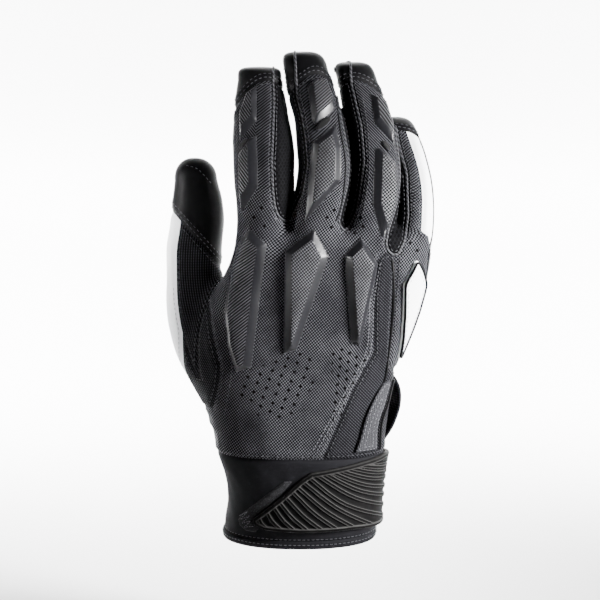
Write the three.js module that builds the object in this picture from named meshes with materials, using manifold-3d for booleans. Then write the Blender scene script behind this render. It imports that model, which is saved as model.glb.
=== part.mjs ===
// A padded football lineman's glove for the right hand, standing open as if a hand were in it.
// Millimetres. +Z runs from the wrist to the fingertips, -Y is the back of the hand, -X is the thumb side.
// The origin is the middle of the wrist opening, at the cuff's lower edge.
import * as THREE from "three";
import { mergeVertices } from "three/addons/utils/BufferGeometryUtils.js";
import Module from "manifold-3d";

const wasm = await Module();
wasm.setup();

// Driving dimensions
const wall = 2; // fabric and leather, sewn and lined
const cuffWall = 3; // neoprene
const gap = 0.35; // between neighbouring pieces
const seamZ = 45; // where the cuff is sewn to the hand
const hemZ = 4; // top of the cuff's bound edge
const hemRise = 0.6; // the binding stands this far out
const padRise = 3.2; // foam pads on the back of the hand
const fingerPadRise = 2.4;
const trimRise = 1.4; // sewn-on side panels stand this far out
const strapRise = 3; // closure strap over the cuff
const ribRise = 1.3; // moulded ribs on the strap
const reach = 120; // longer than any cut has to go

// Section tables. Each row is a level cut: left and right edge, front (back of the hand) and rear (palm).
const cuffRows = [
  { z: 0, left: -41.8, right: 34.5, front: -28.5, rear: 27.5 },
  { z: 8, left: -41, right: 36.6, front: -28.8, rear: 27.6 },
  { z: 20, left: -39.8, right: 37.2, front: -28, rear: 26.5 },
  { z: 32, left: -41.2, right: 38.2, front: -26.5, rear: 25.5 },
  { z: 45, left: -45.2, right: 39.8, front: -25.5, rear: 25 },
];
const handRows = [
  { z: 45, left: -45.5, right: 40, front: -25.5, rear: 25 },
  { z: 58, left: -47, right: 40.5, front: -25, rear: 24.5 },
  { z: 72, left: -50, right: 42.5, front: -24.5, rear: 24 },
  { z: 86, left: -53.5, right: 44.5, front: -24, rear: 23 },
  { z: 99, left: -53.5, right: 49.5, front: -24, rear: 21.5 },
  { z: 111, left: -51, right: 54, front: -24, rear: 19.5 },
  { z: 123, left: -46.5, right: 57.5, front: -23.5, rear: 18 },
  { z: 135, left: -40, right: 59.5, front: -22.5, rear: 16.5 },
  { z: 146, left: -35, right: 60, front: -20.5, rear: 14.5 },
  { z: 153, left: -32, right: 58.5, front: -17.5, rear: 12 },
];

// Each digit's rows: centre x and y, width across and depth through.
// roll turns its back towards the little finger, and flat squares off its tip.
const digits = {
  thumb: {
    roll: 0,
    tip: 190,
    flat: 0.1,
    rows: [
      { z: 62, x: -28, y: 5, wide: 36, deep: 34 },
      { z: 76, x: -35.5, y: 7, wide: 42, deep: 35 },
      { z: 90, x: -43, y: 9, wide: 43, deep: 34 },
      { z: 104, x: -49.5, y: 11, wide: 39, deep: 32 },
      { z: 118, x: -54.2, y: 13, wide: 32.5, deep: 29 },
      { z: 133, x: -56.4, y: 15, wide: 27.6, deep: 26 },
      { z: 146, x: -56.2, y: 16.5, wide: 27.8, deep: 25 },
      { z: 158, x: -54.8, y: 18, wide: 26.8, deep: 24 },
      { z: 169, x: -54.8, y: 19.5, wide: 25, deep: 23 },
      { z: 179, x: -55.5, y: 21, wide: 21.5, deep: 20 },
    ],
  },
  index: {
    roll: -22,
    tip: 235.5,
    flat: 0.85,
    rows: [
      { z: 128, x: -21, y: -3, wide: 25, deep: 28 },
      { z: 146, x: -21, y: -4.5, wide: 26, deep: 27.5 },
      { z: 161, x: -21, y: -4.5, wide: 25.5, deep: 26 },
      { z: 174, x: -20.4, y: -3, wide: 28.4, deep: 25.5 },
      { z: 187, x: -20.8, y: 0, wide: 30.2, deep: 25 },
      { z: 199, x: -21.4, y: 4, wide: 30, deep: 24.5 },
      { z: 210, x: -22, y: 9, wide: 27.8, deep: 23 },
      { z: 220, x: -22.8, y: 14.5, wide: 24.6, deep: 21 },
      { z: 229, x: -23.1, y: 19.5, wide: 22, deep: 18 },
    ],
  },
  middle: {
    roll: 5,
    tip: 243,
    flat: 0.6,
    rows: [
      { z: 128, x: 3.5, y: -4, wide: 26, deep: 28 },
      { z: 146, x: 4, y: -5.5, wide: 26.5, deep: 27.5 },
      { z: 162, x: 5.4, y: -5, wide: 26.6, deep: 26 },
      { z: 175, x: 7.8, y: -3.5, wide: 26.6, deep: 25.5 },
      { z: 188, x: 9.2, y: -0.5, wide: 26, deep: 25 },
      { z: 200, x: 8.3, y: 3.5, wide: 25.6, deep: 24.5 },
      { z: 212, x: 6.3, y: 8.5, wide: 24.6, deep: 23.5 },
      { z: 223, x: 3.2, y: 14.5, wide: 24.4, deep: 21.5 },
      { z: 233, x: 0.5, y: 20, wide: 21.8, deep: 18.5 },
    ],
  },
  ring: {
    roll: 24,
    tip: 237.5,
    flat: 0.7,
    rows: [
      { z: 126, x: 29, y: -3, wide: 24, deep: 27 },
      { z: 142, x: 29.6, y: -4, wide: 24.4, deep: 26.5 },
      { z: 158, x: 31.6, y: -3.5, wide: 23.4, deep: 25 },
      { z: 171, x: 33.8, y: -1.5, wide: 23.4, deep: 24.5 },
      { z: 184, x: 35, y: 2, wide: 23.8, deep: 24 },
      { z: 197, x: 34, y: 7, wide: 23.8, deep: 23.5 },
      { z: 208, x: 31.7, y: 12.5, wide: 23.2, deep: 22.5 },
      { z: 218, x: 28.9, y: 18, wide: 22.6, deep: 20.5 },
      { z: 228, x: 26, y: 23, wide: 19.8, deep: 17.5 },
    ],
  },
  little: {
    roll: 0,
    tip: 209.5,
    flat: 0.5,
    rows: [
      { z: 120, x: 45.5, y: -1, wide: 18, deep: 24 },
      { z: 138, x: 49.5, y: -1.5, wide: 19.5, deep: 24 },
      { z: 152, x: 52.6, y: 0, wide: 20.4, deep: 22.5 },
      { z: 164, x: 54, y: 4.5, wide: 19.4, deep: 21 },
      { z: 175, x: 54.3, y: 10.5, wide: 19.4, deep: 20.5 },
      { z: 185, x: 53, y: 17, wide: 19.4, deep: 20 },
      { z: 194, x: 50.8, y: 23.5, wide: 18.2, deep: 19 },
      { z: 202, x: 48.4, y: 29.5, wide: 16, deep: 16.5 },
    ],
  },
};

// Where each tip cap ends: an arch of two planes through this point, each leaning down to one side.
const capSeams = {
  thumb: { x: -58, y: 6, z: 154.5, leans: [[1.14, 0.2, 1]] },
  index: { x: -22, y: 12, z: 230.5, leans: [[-1.1, 0.6, 1], [0.25, 0.6, 1]] },
  middle: { x: 6, y: 14, z: 234, leans: [[-0.9, 0.6, 1], [0.9, 0.6, 1]] },
  ring: { x: 25, y: 17, z: 230.5, leans: [[-0.4, 0.6, 1], [0.6, 0.6, 1]] },
  little: { x: 49, y: 24, z: 203, leans: [[0.2, 0.8, 1]] },
};

// Finger sides: the strip of each finger between these turns from its back, up to a height.
const gussets = [
  { name: "gusset_index_middle", sides: [["index", 52, 128, 219], ["middle", -128, -52, 226]] },
  { name: "gusset_middle_ring", sides: [["middle", 52, 128, 224], ["ring", -128, -52, 221]] },
  { name: "gusset_ring_little", sides: [["ring", 52, 128, 214], ["little", -128, -52, 192]] },
];
const gussetFoot = 150;

// Outlines seen from the front. Points are [across, up].
const handPads = {
  hand_pad_index: [
    [-27, 159], [-19.5, 152], [-21.6, 134.4], [-24.5, 114.9], [-29, 91],
    [-34.4, 90], [-37.3, 105], [-39.3, 122], [-34.4, 142.6],
  ],
  hand_pad_middle: [
    [3.8, 159.4], [11.2, 148.2], [5.8, 130.5], [-0.1, 113.4],
    [-5.4, 101], [-8.9, 101], [-10.8, 111.3], [-10.3, 130.4], [-9.8, 149],
  ],
  hand_pad_ring: [
    [27.3, 154.6], [35, 144], [33, 130.3], [30.2, 115.5],
    [26.9, 104], [23, 104.1], [20.9, 120.1], [19.4, 134.8], [19, 147.3],
  ],
};
const fingerPads = {
  index_pad_near: [
    [-32.4, 193.1], [-24.5, 208.5], [-21.6, 205], [-21.5, 196],
    [-24.4, 183], [-28.4, 171], [-32, 166], [-33, 178],
  ],
  index_pad_far: [
    [-31.8, 211.7], [-29.3, 218], [-24.3, 226], [-20.5, 224],
    [-22.8, 216.9], [-26.3, 210.6], [-32.6, 198.6], [-33.4, 205],
  ],
  middle_pad_near: [
    [3.4, 201.8], [14.6, 207.6], [17.4, 201.5], [19, 189.6], [14.5, 176],
    [7.7, 170.8], [-1.5, 164], [-0.1, 178], [2.4, 190],
  ],
  middle_pad_far: [
    [-1, 225.3], [4, 230.6], [10, 230.4], [13.6, 224.5],
    [13.8, 217], [3.9, 208.8], [1.9, 216],
  ],
  ring_pad_near: [
    [30, 206.5], [34.4, 204], [43, 197.1], [44, 188.8], [42.4, 172.4],
    [39.6, 157.1], [36.2, 153.6], [31.8, 166], [32, 182.5], [31, 196],
  ],
  ring_pad_far: [
    [22.8, 226], [27.5, 228], [33.6, 223.6], [41.4, 207.4],
    [36.5, 208.4], [31, 212], [27, 216],
  ],
};

// Panels of the skin cut out from the front, through the back half only.
const webPanel = [
  [-60, 124], [-48.6, 120.3], [-46.1, 104.3], [-42.5, 90.5], [-43.6, 80.7], [-47, 68], [-62, 66], [-62, 124],
];
const stretchPanel = [
  [44.5, 150], [36, 146], [35, 143.8], [33.1, 125.4], [33.4, 98.5],
  [23.1, 79.8], [7.9, 45], [36, 45], [37.5, 68], [39.7, 85.5], [42.2, 114.3],
];

// Sewn-on pieces that lie on the skin
const bladePad = [
  [53, 143], [57.8, 130.5], [56.6, 117], [50, 98], [46.8, 93], [45.4, 96.5], [45.8, 109.8], [47, 132.1],
];
const pullTab = [[36, 83], [41, 83], [40.5, 64], [37.5, 49], [25.3, 49], [29.5, 64]];
const pullLoop = [[38, 84], [42, 82.5], [46, 76], [45.5, 64], [40, 51], [36, 51]];
const loopDepths = { front: -1.6, rear: 9 };

// The closure strap on the cuff, from the front and from the palm
const strapFront = [
  [60, 44.5], [38, 44.5], [2.4, 39], [-3, 35.4], [-25.4, 15], [-24.2, 12.3],
  [-20.3, 9.9], [-3, 9.1], [22.3, 9.1], [38, 7.2], [60, 7.2],
];
const strapRear = [
  [60, 44.5], [36, 44.5], [20, 42], [-12, 36], [-14, 34], [-14, 12], [-12, 10], [20, 7.2], [60, 7.2],
];
const hookPatch = [[-10, 30.5], [-13, 31.5], [-33, 13], [-31, 7.5], [-27, 10.5], [-28.5, 13.5]];

// The strap's moulded ribs: where each starts by the upper border and ends by the lower one
const ribWidth = 1.1;
const strapRibs = [
  { from: [-19.4, 17.5], to: [-16, 11.3] },
  { from: [-16.4, 20], to: [-11.5, 11.2] },
  { from: [-13.9, 22.5], to: [-7.5, 11.2] },
  { from: [-11.4, 25], to: [-3, 11.2] },
  { from: [-8.9, 27.5], to: [2.5, 11.2] },
  { from: [-6.5, 30], to: [8.5, 11.2] },
  { from: [-4, 32.4], to: [14.3, 11.2] },
  { from: [-1.3, 34.6], to: [21, 10.8] },
  { from: [2, 36], to: [27.5, 10.2] },
  { from: [6.5, 37], to: [34, 10] },
  { from: [11.5, 38], to: [45, 13.5] },
  { from: [16.5, 39], to: [45, 19.5] },
  { from: [21.8, 40], to: [45, 25] },
  { from: [27.8, 41], to: [45, 29.5] },
  { from: [32, 42], to: [45, 34] },
];

// A number between two rows, for a level that lies between them.
const between = (rows, z, key) => {
  const above = rows.findIndex((row) => row.z >= z);
  const b = rows[above < 0 ? rows.length - 1 : Math.max(above, 1)];
  const a = rows[rows.indexOf(b) - 1];
  return a[key] + ((b[key] - a[key]) * (z - a.z)) / (b.z - a.z);
};

const cut = (rows, z) => {
  const at = (key) => between(rows, z, key);
  return { z, x: at("x"), y: at("y"), a: at("a"), b: at("b") };
};

// Every form as rows of centre, half sizes and roll, and how square its sections are.
const level = (row) => ({
  z: row.z,
  x: (row.left + row.right) / 2,
  y: (row.front + row.rear) / 2,
  a: (row.right - row.left) / 2,
  b: (row.rear - row.front) / 2,
});
const forms = {
  cuff: { rows: cuffRows.map(level), roll: 0, square: 2.2, sides: 24 },
  hand: { rows: handRows.map(level), roll: 0, square: 2.5, sides: 24, tip: 158, flat: 0 },
};
for (const [name, digit] of Object.entries(digits)) {
  const rows = digit.rows.map(({ z, x, y, wide, deep }) => ({ z, x, y, a: wide / 2, b: deep / 2 }));
  forms[name] = { rows, roll: digit.roll, square: 2.3, sides: 12, tip: digit.tip, flat: digit.flat };
}

// A point of a form's section at a turn in degrees from its back, moved outwards by grow.
const onSection = (form, row, turn, grow) => {
  const t = THREE.MathUtils.degToRad(turn);
  const round = (v) => Math.sign(v) * Math.abs(v) ** (2 / form.square);
  const x = (row.a + grow) * round(Math.sin(t));
  const y = -(row.b + grow) * round(Math.cos(t));
  const r = THREE.MathUtils.degToRad(form.roll);
  return [row.x + x * Math.cos(r) - y * Math.sin(r), row.y + x * Math.sin(r) + y * Math.cos(r), row.z];
};

// The rows of a form grown by an amount, closed by a rounded tip where it has one.
const tipShape = [
  { up: 0.5, round: 0.86, flat: 0.97 },
  { up: 0.85, round: 0.6, flat: 0.86 },
  { up: 1, round: 0.3, flat: 0.62 },
];
const grownRows = (form, grow) => {
  if (!form.tip) return form.rows;
  const [before, last] = form.rows.slice(-2);
  const lean = (key) => (last[key] - before[key]) / (last.z - before.z);
  const dome = tipShape.map(({ up, round, flat }) => {
    const size = round + (flat - round) * form.flat;
    const rise = (form.tip + grow - last.z) * up;
    return {
      z: last.z + rise,
      x: last.x + lean("x") * rise,
      y: last.y + lean("y") * rise,
      a: last.a * size,
      b: last.b * size,
    };
  });
  return [...form.rows, ...dome];
};

// Closed rings of points joined into a solid.
const loft = (rings) => {
  const n = rings[0].length;
  const points = rings.flat();
  const triangles = [];
  for (let i = 0; i + 1 < rings.length; i++) {
    for (let j = 0; j < n; j++) {
      const a = i * n + j;
      const b = i * n + ((j + 1) % n);
      triangles.push(a, b, b + n, a, b + n, a + n);
    }
  }
  const flat = (ring) => ring.map(([x, y]) => new THREE.Vector2(x, y));
  const lid = THREE.ShapeUtils.triangulateShape(flat(rings[0]), []);
  const top = THREE.ShapeUtils.triangulateShape(flat(rings.at(-1)), []);
  const start = points.length - n;
  for (const [a, b, c] of lid) triangles.push(a, c, b);
  for (const [a, b, c] of top) triangles.push(start + a, start + b, start + c);
  return solid(points.flat(), triangles);
};

// A closed triangle mesh as a solid that can be joined and cut.
const solid = (vertices, triangles) =>
  new wasm.Manifold(
    new wasm.Mesh({
      numProp: 3,
      vertProperties: new Float32Array(vertices),
      triVerts: new Uint32Array(triangles),
    }),
  );

// A three.js geometry with shared corners, so that it closes. It is welded before it is turned or moved.
const weld = (geometry) => {
  geometry.deleteAttribute("normal");
  geometry.deleteAttribute("uv");
  return mergeVertices(geometry);
};
const solidOf = (geometry) => solid(geometry.attributes.position.array, geometry.index.array);

const join = (solids) => wasm.Manifold.union(solids);

// A whole form, grown outwards or inwards. foot carries its lowest row further down.
const body = (form, grow, foot = 0) => {
  const all = grownRows(form, grow);
  const rows = all.filter((row, i) => grow >= 0 || i % 2 === 0 || i > all.length - 4);
  if (foot) rows.unshift({ ...rows[0], z: rows[0].z - foot });
  const sides = grow < 0 ? form.sides - 4 : form.sides;
  const turns = Array.from({ length: sides }, (_, i) => (360 * (i + 0.5)) / sides);
  return loft(rows.map((row) => turns.map((turn) => onSection(form, row, turn, grow))));
};

// A wedge of a form between two turns and two heights, reaching through its wall.
const wedge = (form, from, to, low, high, margin = 0) => {
  const all = grownRows(form, 0);
  const inner = all.filter((row) => row.z > low + 0.5 && row.z < high - 0.5);
  const steps = 3;
  const rings = [cut(all, low), ...inner, cut(all, high)].map((row) => {
    const edge = THREE.MathUtils.radToDeg(margin / Math.min(row.a, row.b));
    const turns = Array.from({ length: steps + 1 }, (_, i) => {
      return from - edge + ((to - from + 2 * edge) * i) / steps;
    });
    const outside = turns.map((turn) => onSection(form, row, turn, 6));
    const inside = turns.map((turn) => onSection(form, row, turn, -0.6 * Math.min(row.a, row.b)));
    return [...outside, ...inside.reverse()];
  });
  return loft(rings);
};

// Everything in front of a depth that lies under an outline seen from the front.
const stamp = (outline, depth, margin = 0) => {
  const points = outline.map(([x, z]) => new THREE.Vector2(x, z));
  const middle = points.reduce((sum, p) => sum.add(p), new THREE.Vector2()).divideScalar(points.length);
  if (margin) {
    for (const p of points) p.add(p.clone().sub(middle).setLength(margin));
  }
  const shape = new THREE.Shape(points);
  const geometry = weld(new THREE.ExtrudeGeometry(shape, { depth: reach, bevelEnabled: false }));
  geometry.rotateX(Math.PI / 2);
  geometry.translate(0, depth, 0);
  return solidOf(geometry);
};

// All that lies beyond a plane.
const beyond = (point, lean, shift = 0) => {
  const geometry = weld(new THREE.BoxGeometry(4 * reach, 4 * reach, 2 * reach));
  geometry.translate(0, 0, reach + shift);
  const turn = new THREE.Quaternion().setFromUnitVectors(
    new THREE.Vector3(0, 0, 1),
    new THREE.Vector3(...lean).normalize(),
  );
  geometry.applyQuaternion(turn);
  geometry.translate(point.x, point.y, point.z);
  return solidOf(geometry);
};

const materials = {
  fabric: new THREE.MeshStandardMaterial({ color: 0x26262b, roughness: 0.6 }),
  mesh: new THREE.MeshStandardMaterial({ color: 0x101014, roughness: 0.85 }),
  pad: new THREE.MeshStandardMaterial({ color: 0x34343a, roughness: 0.45 }),
  leather: new THREE.MeshStandardMaterial({ color: 0x0c0c0d, roughness: 0.35 }),
  white: new THREE.MeshStandardMaterial({ color: 0xe6e6ea, roughness: 0.45 }),
  neoprene: new THREE.MeshStandardMaterial({ color: 0x0d0d0f, roughness: 0.8 }),
  rubber: new THREE.MeshStandardMaterial({ color: 0x1c1b1b, roughness: 0.5 }),
  hook: new THREE.MeshStandardMaterial({ color: 0x08080a, roughness: 0.95 }),
  webbing: new THREE.MeshStandardMaterial({ color: 0x5a5a60, roughness: 0.7 }),
};

const glove = new THREE.Group();

// Adds a solid as a named mesh. Slivers that a cut leaves beside the piece are dropped.
const add = (name, made, material) => {
  const [largest] = made.decompose().sort((a, b) => b.volume() - a.volume());
  const { vertProperties, triVerts } = largest.getMesh();
  const geometry = new THREE.BufferGeometry();
  geometry.setAttribute("position", new THREE.BufferAttribute(new Float32Array(vertProperties), 3));
  geometry.setIndex(new THREE.BufferAttribute(new Uint32Array(triVerts), 1));
  const mesh = new THREE.Mesh(geometry, materials[material]);
  mesh.name = name;
  glove.add(mesh);
};

// The hand's whole skin: every form joined, less the same forms one wall smaller, open at the wrist.
const handParts = ["hand", "thumb", "index", "middle", "ring", "little"];
const grown = (grow) => {
  const all = join(handParts.map((name) => body(forms[name], grow, name === "hand" && grow < 0 ? 4 : 0)));
  return all;
};
const outside = grown(0);
let skin = outside.subtract(grown(-wall));
const overlay = (rise) => grown(rise).subtract(grown(gap));

// Takes a piece out of the skin and leaves the gap round it.
const take = (name, material, cutter, wider) => {
  add(name, skin.intersect(cutter), material);
  skin = skin.subtract(join([cutter, wider]));
};

for (const [name, seam] of Object.entries(capSeams)) {
  const near = body(forms[name], 0.9);
  const past = (shift) => join(seam.leans.map((lean) => beyond(seam, lean, shift)));
  take(`tip_cap_${name}`, "leather", near.intersect(past(0)), near.intersect(past(-gap)));
}

for (const { name, sides } of gussets) {
  const strips = (margin) =>
    join(
      sides.map(([digit, from, to, high]) => {
        const strip = wedge(forms[digit], from, to, gussetFoot - margin, high + 12, margin);
        return strip.intersect(body(forms[digit], 0.9));
      }),
    );
  take(name, "mesh", strips(0), strips(gap));
}

// The back of the thumb, from its cap to the web
const thumbBack = (margin) => wedge(forms.thumb, -31, 95, 84 - margin, 176, margin);
take("thumb_back", "mesh", thumbBack(0), thumbBack(gap));

const frontOnly = 4; // cuts from the front stop this far behind the middle
take("web_panel", "mesh", stamp(webPanel, frontOnly), stamp(webPanel, frontOnly + gap, gap));
take("stretch_panel", "mesh", stamp(stretchPanel, frontOnly), stamp(stretchPanel, frontOnly + gap, gap));

// What is left is split along the edge of the hand and of each finger.
// The palm's leather wraps the little finger's outer edge.
const edges = { index: [-90, 90], middle: [-90, 90], ring: [-90, 90], little: [-90, 20] };
const backHalf = (margin) => {
  const halves = Object.entries(edges).map(([name, [from, to]]) => {
    const strip = wedge(forms[name], from, to, 146, forms[name].tip - 1, margin);
    return strip.intersect(body(forms[name], 3 + margin));
  });
  return join([...halves, stamp([[-70, 40], [70, 40], [70, 158.5], [-70, 158.5]], 2 + margin)]);
};
take("back_panel", "fabric", backHalf(0), backHalf(gap));
add("palm_panel", skin, "white");

for (const [name, outline] of Object.entries(handPads)) {
  add(name, overlay(padRise).intersect(stamp(outline, 0)), "pad");
}
for (const [name, outline] of Object.entries(fingerPads)) {
  add(name, overlay(fingerPadRise).intersect(stamp(outline, 10)), "pad");
}
add("side_pad", overlay(trimRise).intersect(stamp(bladePad, 2)), "white");
add("pull_tab", overlay(trimRise + 1).intersect(stamp(pullTab, -2)), "webbing");
const everything = [[30, 40], [60, 40], [60, 90], [30, 90]];
const loop = stamp(pullLoop, loopDepths.rear).subtract(stamp(everything, loopDepths.front));
add("pull_loop", loop.subtract(grown(gap)), "mesh");

// The cuff, its bound edge and the closure strap
const cuffShell = (low, high, inner, outer) => {
  const rows = forms.cuff.rows;
  const inside = rows.filter((row) => row.z > low + 1 && row.z < high - 1);
  const part = (bottom, top, grow) => {
    return body({ ...forms.cuff, rows: [cut(rows, bottom), ...inside, cut(rows, top)] }, grow);
  };
  return part(low, high, outer).subtract(part(low - 1, high + 1, inner));
};
add("cuff", cuffShell(hemZ + gap, seamZ - gap, -cuffWall, 0), "neoprene");
add("cuff_hem", cuffShell(0, hemZ, -cuffWall, hemRise), "neoprene");

// A band of the strap's outline, front and palm, from just off the cuff out to a height
const strapBody = (rise, front, rear) => {
  const band = cuffShell(1, seamZ - gap, gap + hemRise, rise);
  return band.intersect(join([stamp(front, 0.5), stamp(rear, reach).subtract(stamp(rear, 0))]));
};
const ribs = strapRibs.map(({ from, to }) => {
  const side = new THREE.Vector2(to[0] - from[0], to[1] - from[1]).setLength(ribWidth / 2);
  const shifted = ([x, z], sign) => [x + sign * side.y, z - sign * side.x];
  const edge = [from, to];
  const outline = [...edge.map((p) => shifted(p, -1)), ...edge.reverse().map((p) => shifted(p, 1))];
  return stamp(outline, 0);
});
const ribBand = cuffShell(5.5, seamZ - gap, strapRise - 0.5, strapRise + ribRise);
const strap = strapBody(strapRise, strapFront, strapRear);
add("wrist_strap", join([strap, ribBand.intersect(join(ribs))]), "rubber");
add("strap_hook", strapBody(strapRise - 0.8, hookPatch, hookPatch), "hook");

export default glove;
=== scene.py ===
import math
import bpy
import numpy as np
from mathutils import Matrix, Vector
from mathutils.bvhtree import BVHTree


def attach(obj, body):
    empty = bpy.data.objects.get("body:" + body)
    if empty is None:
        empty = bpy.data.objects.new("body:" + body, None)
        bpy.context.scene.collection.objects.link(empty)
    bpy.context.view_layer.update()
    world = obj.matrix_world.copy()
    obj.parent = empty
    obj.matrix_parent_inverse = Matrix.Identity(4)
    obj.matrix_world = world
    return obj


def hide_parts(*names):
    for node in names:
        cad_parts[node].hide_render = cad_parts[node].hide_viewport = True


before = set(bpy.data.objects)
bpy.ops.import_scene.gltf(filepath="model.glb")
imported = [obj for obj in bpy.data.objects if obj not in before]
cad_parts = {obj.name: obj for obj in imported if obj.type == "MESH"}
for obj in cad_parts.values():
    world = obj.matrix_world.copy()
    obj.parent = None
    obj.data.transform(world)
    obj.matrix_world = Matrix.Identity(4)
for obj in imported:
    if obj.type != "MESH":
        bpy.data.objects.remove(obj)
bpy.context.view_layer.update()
rng = np.random.default_rng(7)

# Everything is worked out in millimetres and turned into metres when a mesh is made.
# +Z runs up to the fingertips, -Y is the back of the hand, -X is the thumb's side.


def table(names, *rows):
    return dict(zip(names.split(), np.array(rows, float).T))


# Level cuts of the cuff and the hand: left and right edge, back of the hand and palm
cuffRows = table(
    "z left right front rear",
    (0, -41.8, 34.5, -28.5, 27.5),
    (8, -41, 36.6, -28.8, 27.6),
    (20, -39.8, 37.2, -28, 26.5),
    (32, -41.2, 38.2, -26.5, 25.5),
    (45, -45.2, 39.8, -25.5, 25),
)
handRows = table(
    "z left right front rear",
    (43, -45, 39.5, -25.5, 25),
    (58, -47, 40.5, -25, 24.5),
    (72, -50, 42.5, -24.5, 24),
    (86, -53.5, 44.5, -24, 23),
    (99, -53.5, 49.5, -24, 21.5),
    (111, -51, 54, -24, 19.5),
    (123, -46.5, 57.5, -23.5, 18),
    (135, -40, 59.5, -22.5, 16.5),
    (146, -35, 60, -20.5, 14.5),
    (153, -32, 58.5, -17.5, 12),
)

# Level cuts of the digits: centre, width across and depth through
digits = {
    "thumb": dict(roll=0, tip=190, flat=0.1, blend=9, rows=table(
        "z x y wide deep",
        (62, -28, 5, 36, 34), (76, -35.5, 7, 42, 35), (90, -43, 9, 43, 34), (104, -49.5, 11, 39, 32),
        (118, -54.2, 13, 32.5, 29), (133, -56.4, 15, 27.6, 26), (146, -56.2, 16.5, 27.8, 25),
        (158, -54.8, 18, 26.8, 24), (169, -54.8, 19.5, 25, 23), (179, -55.5, 21, 21.5, 20),
    )),
    "index": dict(roll=-22, tip=235.5, flat=1.5, blend=5, rows=table(
        "z x y wide deep",
        (128, -21, -3, 25, 28), (146, -21, -4.5, 26, 27.5), (161, -21, -4.5, 25.5, 26),
        (174, -20.4, -3, 28.4, 25.5), (187, -20.8, 0, 30.2, 25), (199, -21.4, 4, 30, 24.5),
        (210, -22, 9, 27.8, 23), (220, -22.8, 14.5, 24.6, 21), (229, -23.1, 19.5, 22, 18),
    )),
    "middle": dict(roll=5, tip=243, flat=1.0, blend=5, rows=table(
        "z x y wide deep",
        (128, 3.5, -4, 26, 28), (146, 4, -5.5, 26.5, 27.5), (162, 5.4, -5, 26.6, 26),
        (175, 7.8, -3.5, 26.6, 25.5), (188, 9.2, -0.5, 26, 25), (200, 8.3, 3.5, 25.6, 24.5),
        (212, 6.3, 8.5, 24.6, 23.5), (223, 3.2, 14.5, 24.4, 21.5), (233, 0.5, 20, 21.8, 18.5),
    )),
    "ring": dict(roll=24, tip=237.5, flat=1.2, blend=5, rows=table(
        "z x y wide deep",
        (126, 29, -3, 24, 27), (142, 29.6, -4, 24.4, 26.5), (158, 31, -3.5, 24.8, 25),
        (171, 33.2, -1.5, 25, 24.5), (184, 34.4, 2, 25.2, 24), (197, 33.4, 7, 25, 23.5),
        (208, 31.3, 12.5, 24, 22.5), (218, 28.9, 18, 22.6, 20.5), (228, 26, 23, 19.8, 17.5),
    )),
    "little": dict(roll=0, tip=209.5, flat=0.5, blend=5, rows=table(
        "z x y wide deep",
        (120, 45.5, -1, 18, 24), (138, 49.5, -1.5, 19.5, 24), (152, 52.6, 0, 20.4, 22.5),
        (164, 54, 4.5, 19.4, 21), (175, 54.3, 10.5, 19.4, 20.5), (185, 53, 17, 19.4, 20),
        (194, 50.8, 23.5, 18.2, 19), (202, 48.4, 29.5, 16, 16.5),
    )),
}


def along(rows, name, z):
    # A smooth curve through a table's column, held level past its ends
    x, y = rows["z"], rows[name]
    slope = np.gradient(y, x)
    i = np.clip(np.searchsorted(x, z) - 1, 0, len(x) - 2)
    h = x[i + 1] - x[i]
    u = np.clip((z - x[i]) / h, 0, 1)
    rise = u * u * (3 - 2 * u)
    bend = h * u * (1 - u) * (slope[i] * (1 - u) - slope[i + 1] * u)
    return y[i] + (y[i + 1] - y[i]) * rise + bend


def edgesToCentre(rows):
    return dict(
        z=rows["z"], x=(rows["left"] + rows["right"]) / 2, y=(rows["front"] + rows["rear"]) / 2,
        wide=rows["right"] - rows["left"], deep=rows["rear"] - rows["front"],
    )


forms = {
    "cuff": dict(rows=edgesToCentre(cuffRows), roll=0, square=2.2, tip=0, flat=0),
    "hand": dict(rows=edgesToCentre(handRows), roll=0, square=2.5, tip=159, flat=0),
}
for name, digit in digits.items():
    forms[name] = dict(digit, square=2.3)


def section(form, z):
    # Centre and half sizes at each height. Above the last row the centre goes on as it leans.
    rows = form["rows"]
    over = np.maximum(z - rows["z"][-1], 0) / (rows["z"][-1] - rows["z"][-2])
    x = along(rows, "x", z) + (rows["x"][-1] - rows["x"][-2]) * over
    y = along(rows, "y", z) + (rows["y"][-1] - rows["y"][-2]) * over
    return x, y, along(rows, "wide", z) / 2, along(rows, "deep", z) / 2


def place(form, points):
    # How far outside a form each point is, and its turn round the form from its back
    x, y, a, b = section(form, points[:, 2])
    dx, dy = points[:, 0] - x, points[:, 1] - y
    roll = math.radians(form["roll"])
    lx = dx * math.cos(roll) + dy * math.sin(roll)
    ly = dy * math.cos(roll) - dx * math.sin(roll)
    n = form["square"]
    rho = (np.abs(lx / a) ** n + np.abs(ly / b) ** n) ** (1 / n) + 1e-6
    first, last = form["rows"]["z"][[0, -1]]
    over = np.maximum(points[:, 2] - last, 0)
    if form["tip"]:
        power = 2 + 2 * form["flat"]
        rho = (rho**power + (over / (form["tip"] - last)) ** power) ** (1 / power)
    r = np.sqrt(lx * lx + ly * ly + over * over)
    d = r - r / rho
    d = np.where(points[:, 2] < first, np.maximum(d, first - points[:, 2]), d)
    return d, np.degrees(np.arctan2(lx / a, -ly / b))


def roundness(form, turn):
    # How far out a form's outline is at a turn, against half its width and depth
    n = form["square"]
    return (np.abs(np.sin(turn)) ** n + np.abs(np.cos(turn)) ** n) ** (-1 / n)


def turnSeen(form, share):
    # The turn of a place on a form's back, from its share of the half width
    n = form["square"]
    return np.degrees(np.arctan2(share, (1 - np.minimum(np.abs(share), 1) ** n) ** (1 / n)))


def lengthAlong(line):
    # How far along a line each of its points is
    return np.concatenate([[0], np.cumsum(np.linalg.norm(np.diff(line, axis=0), axis=1))])


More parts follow.
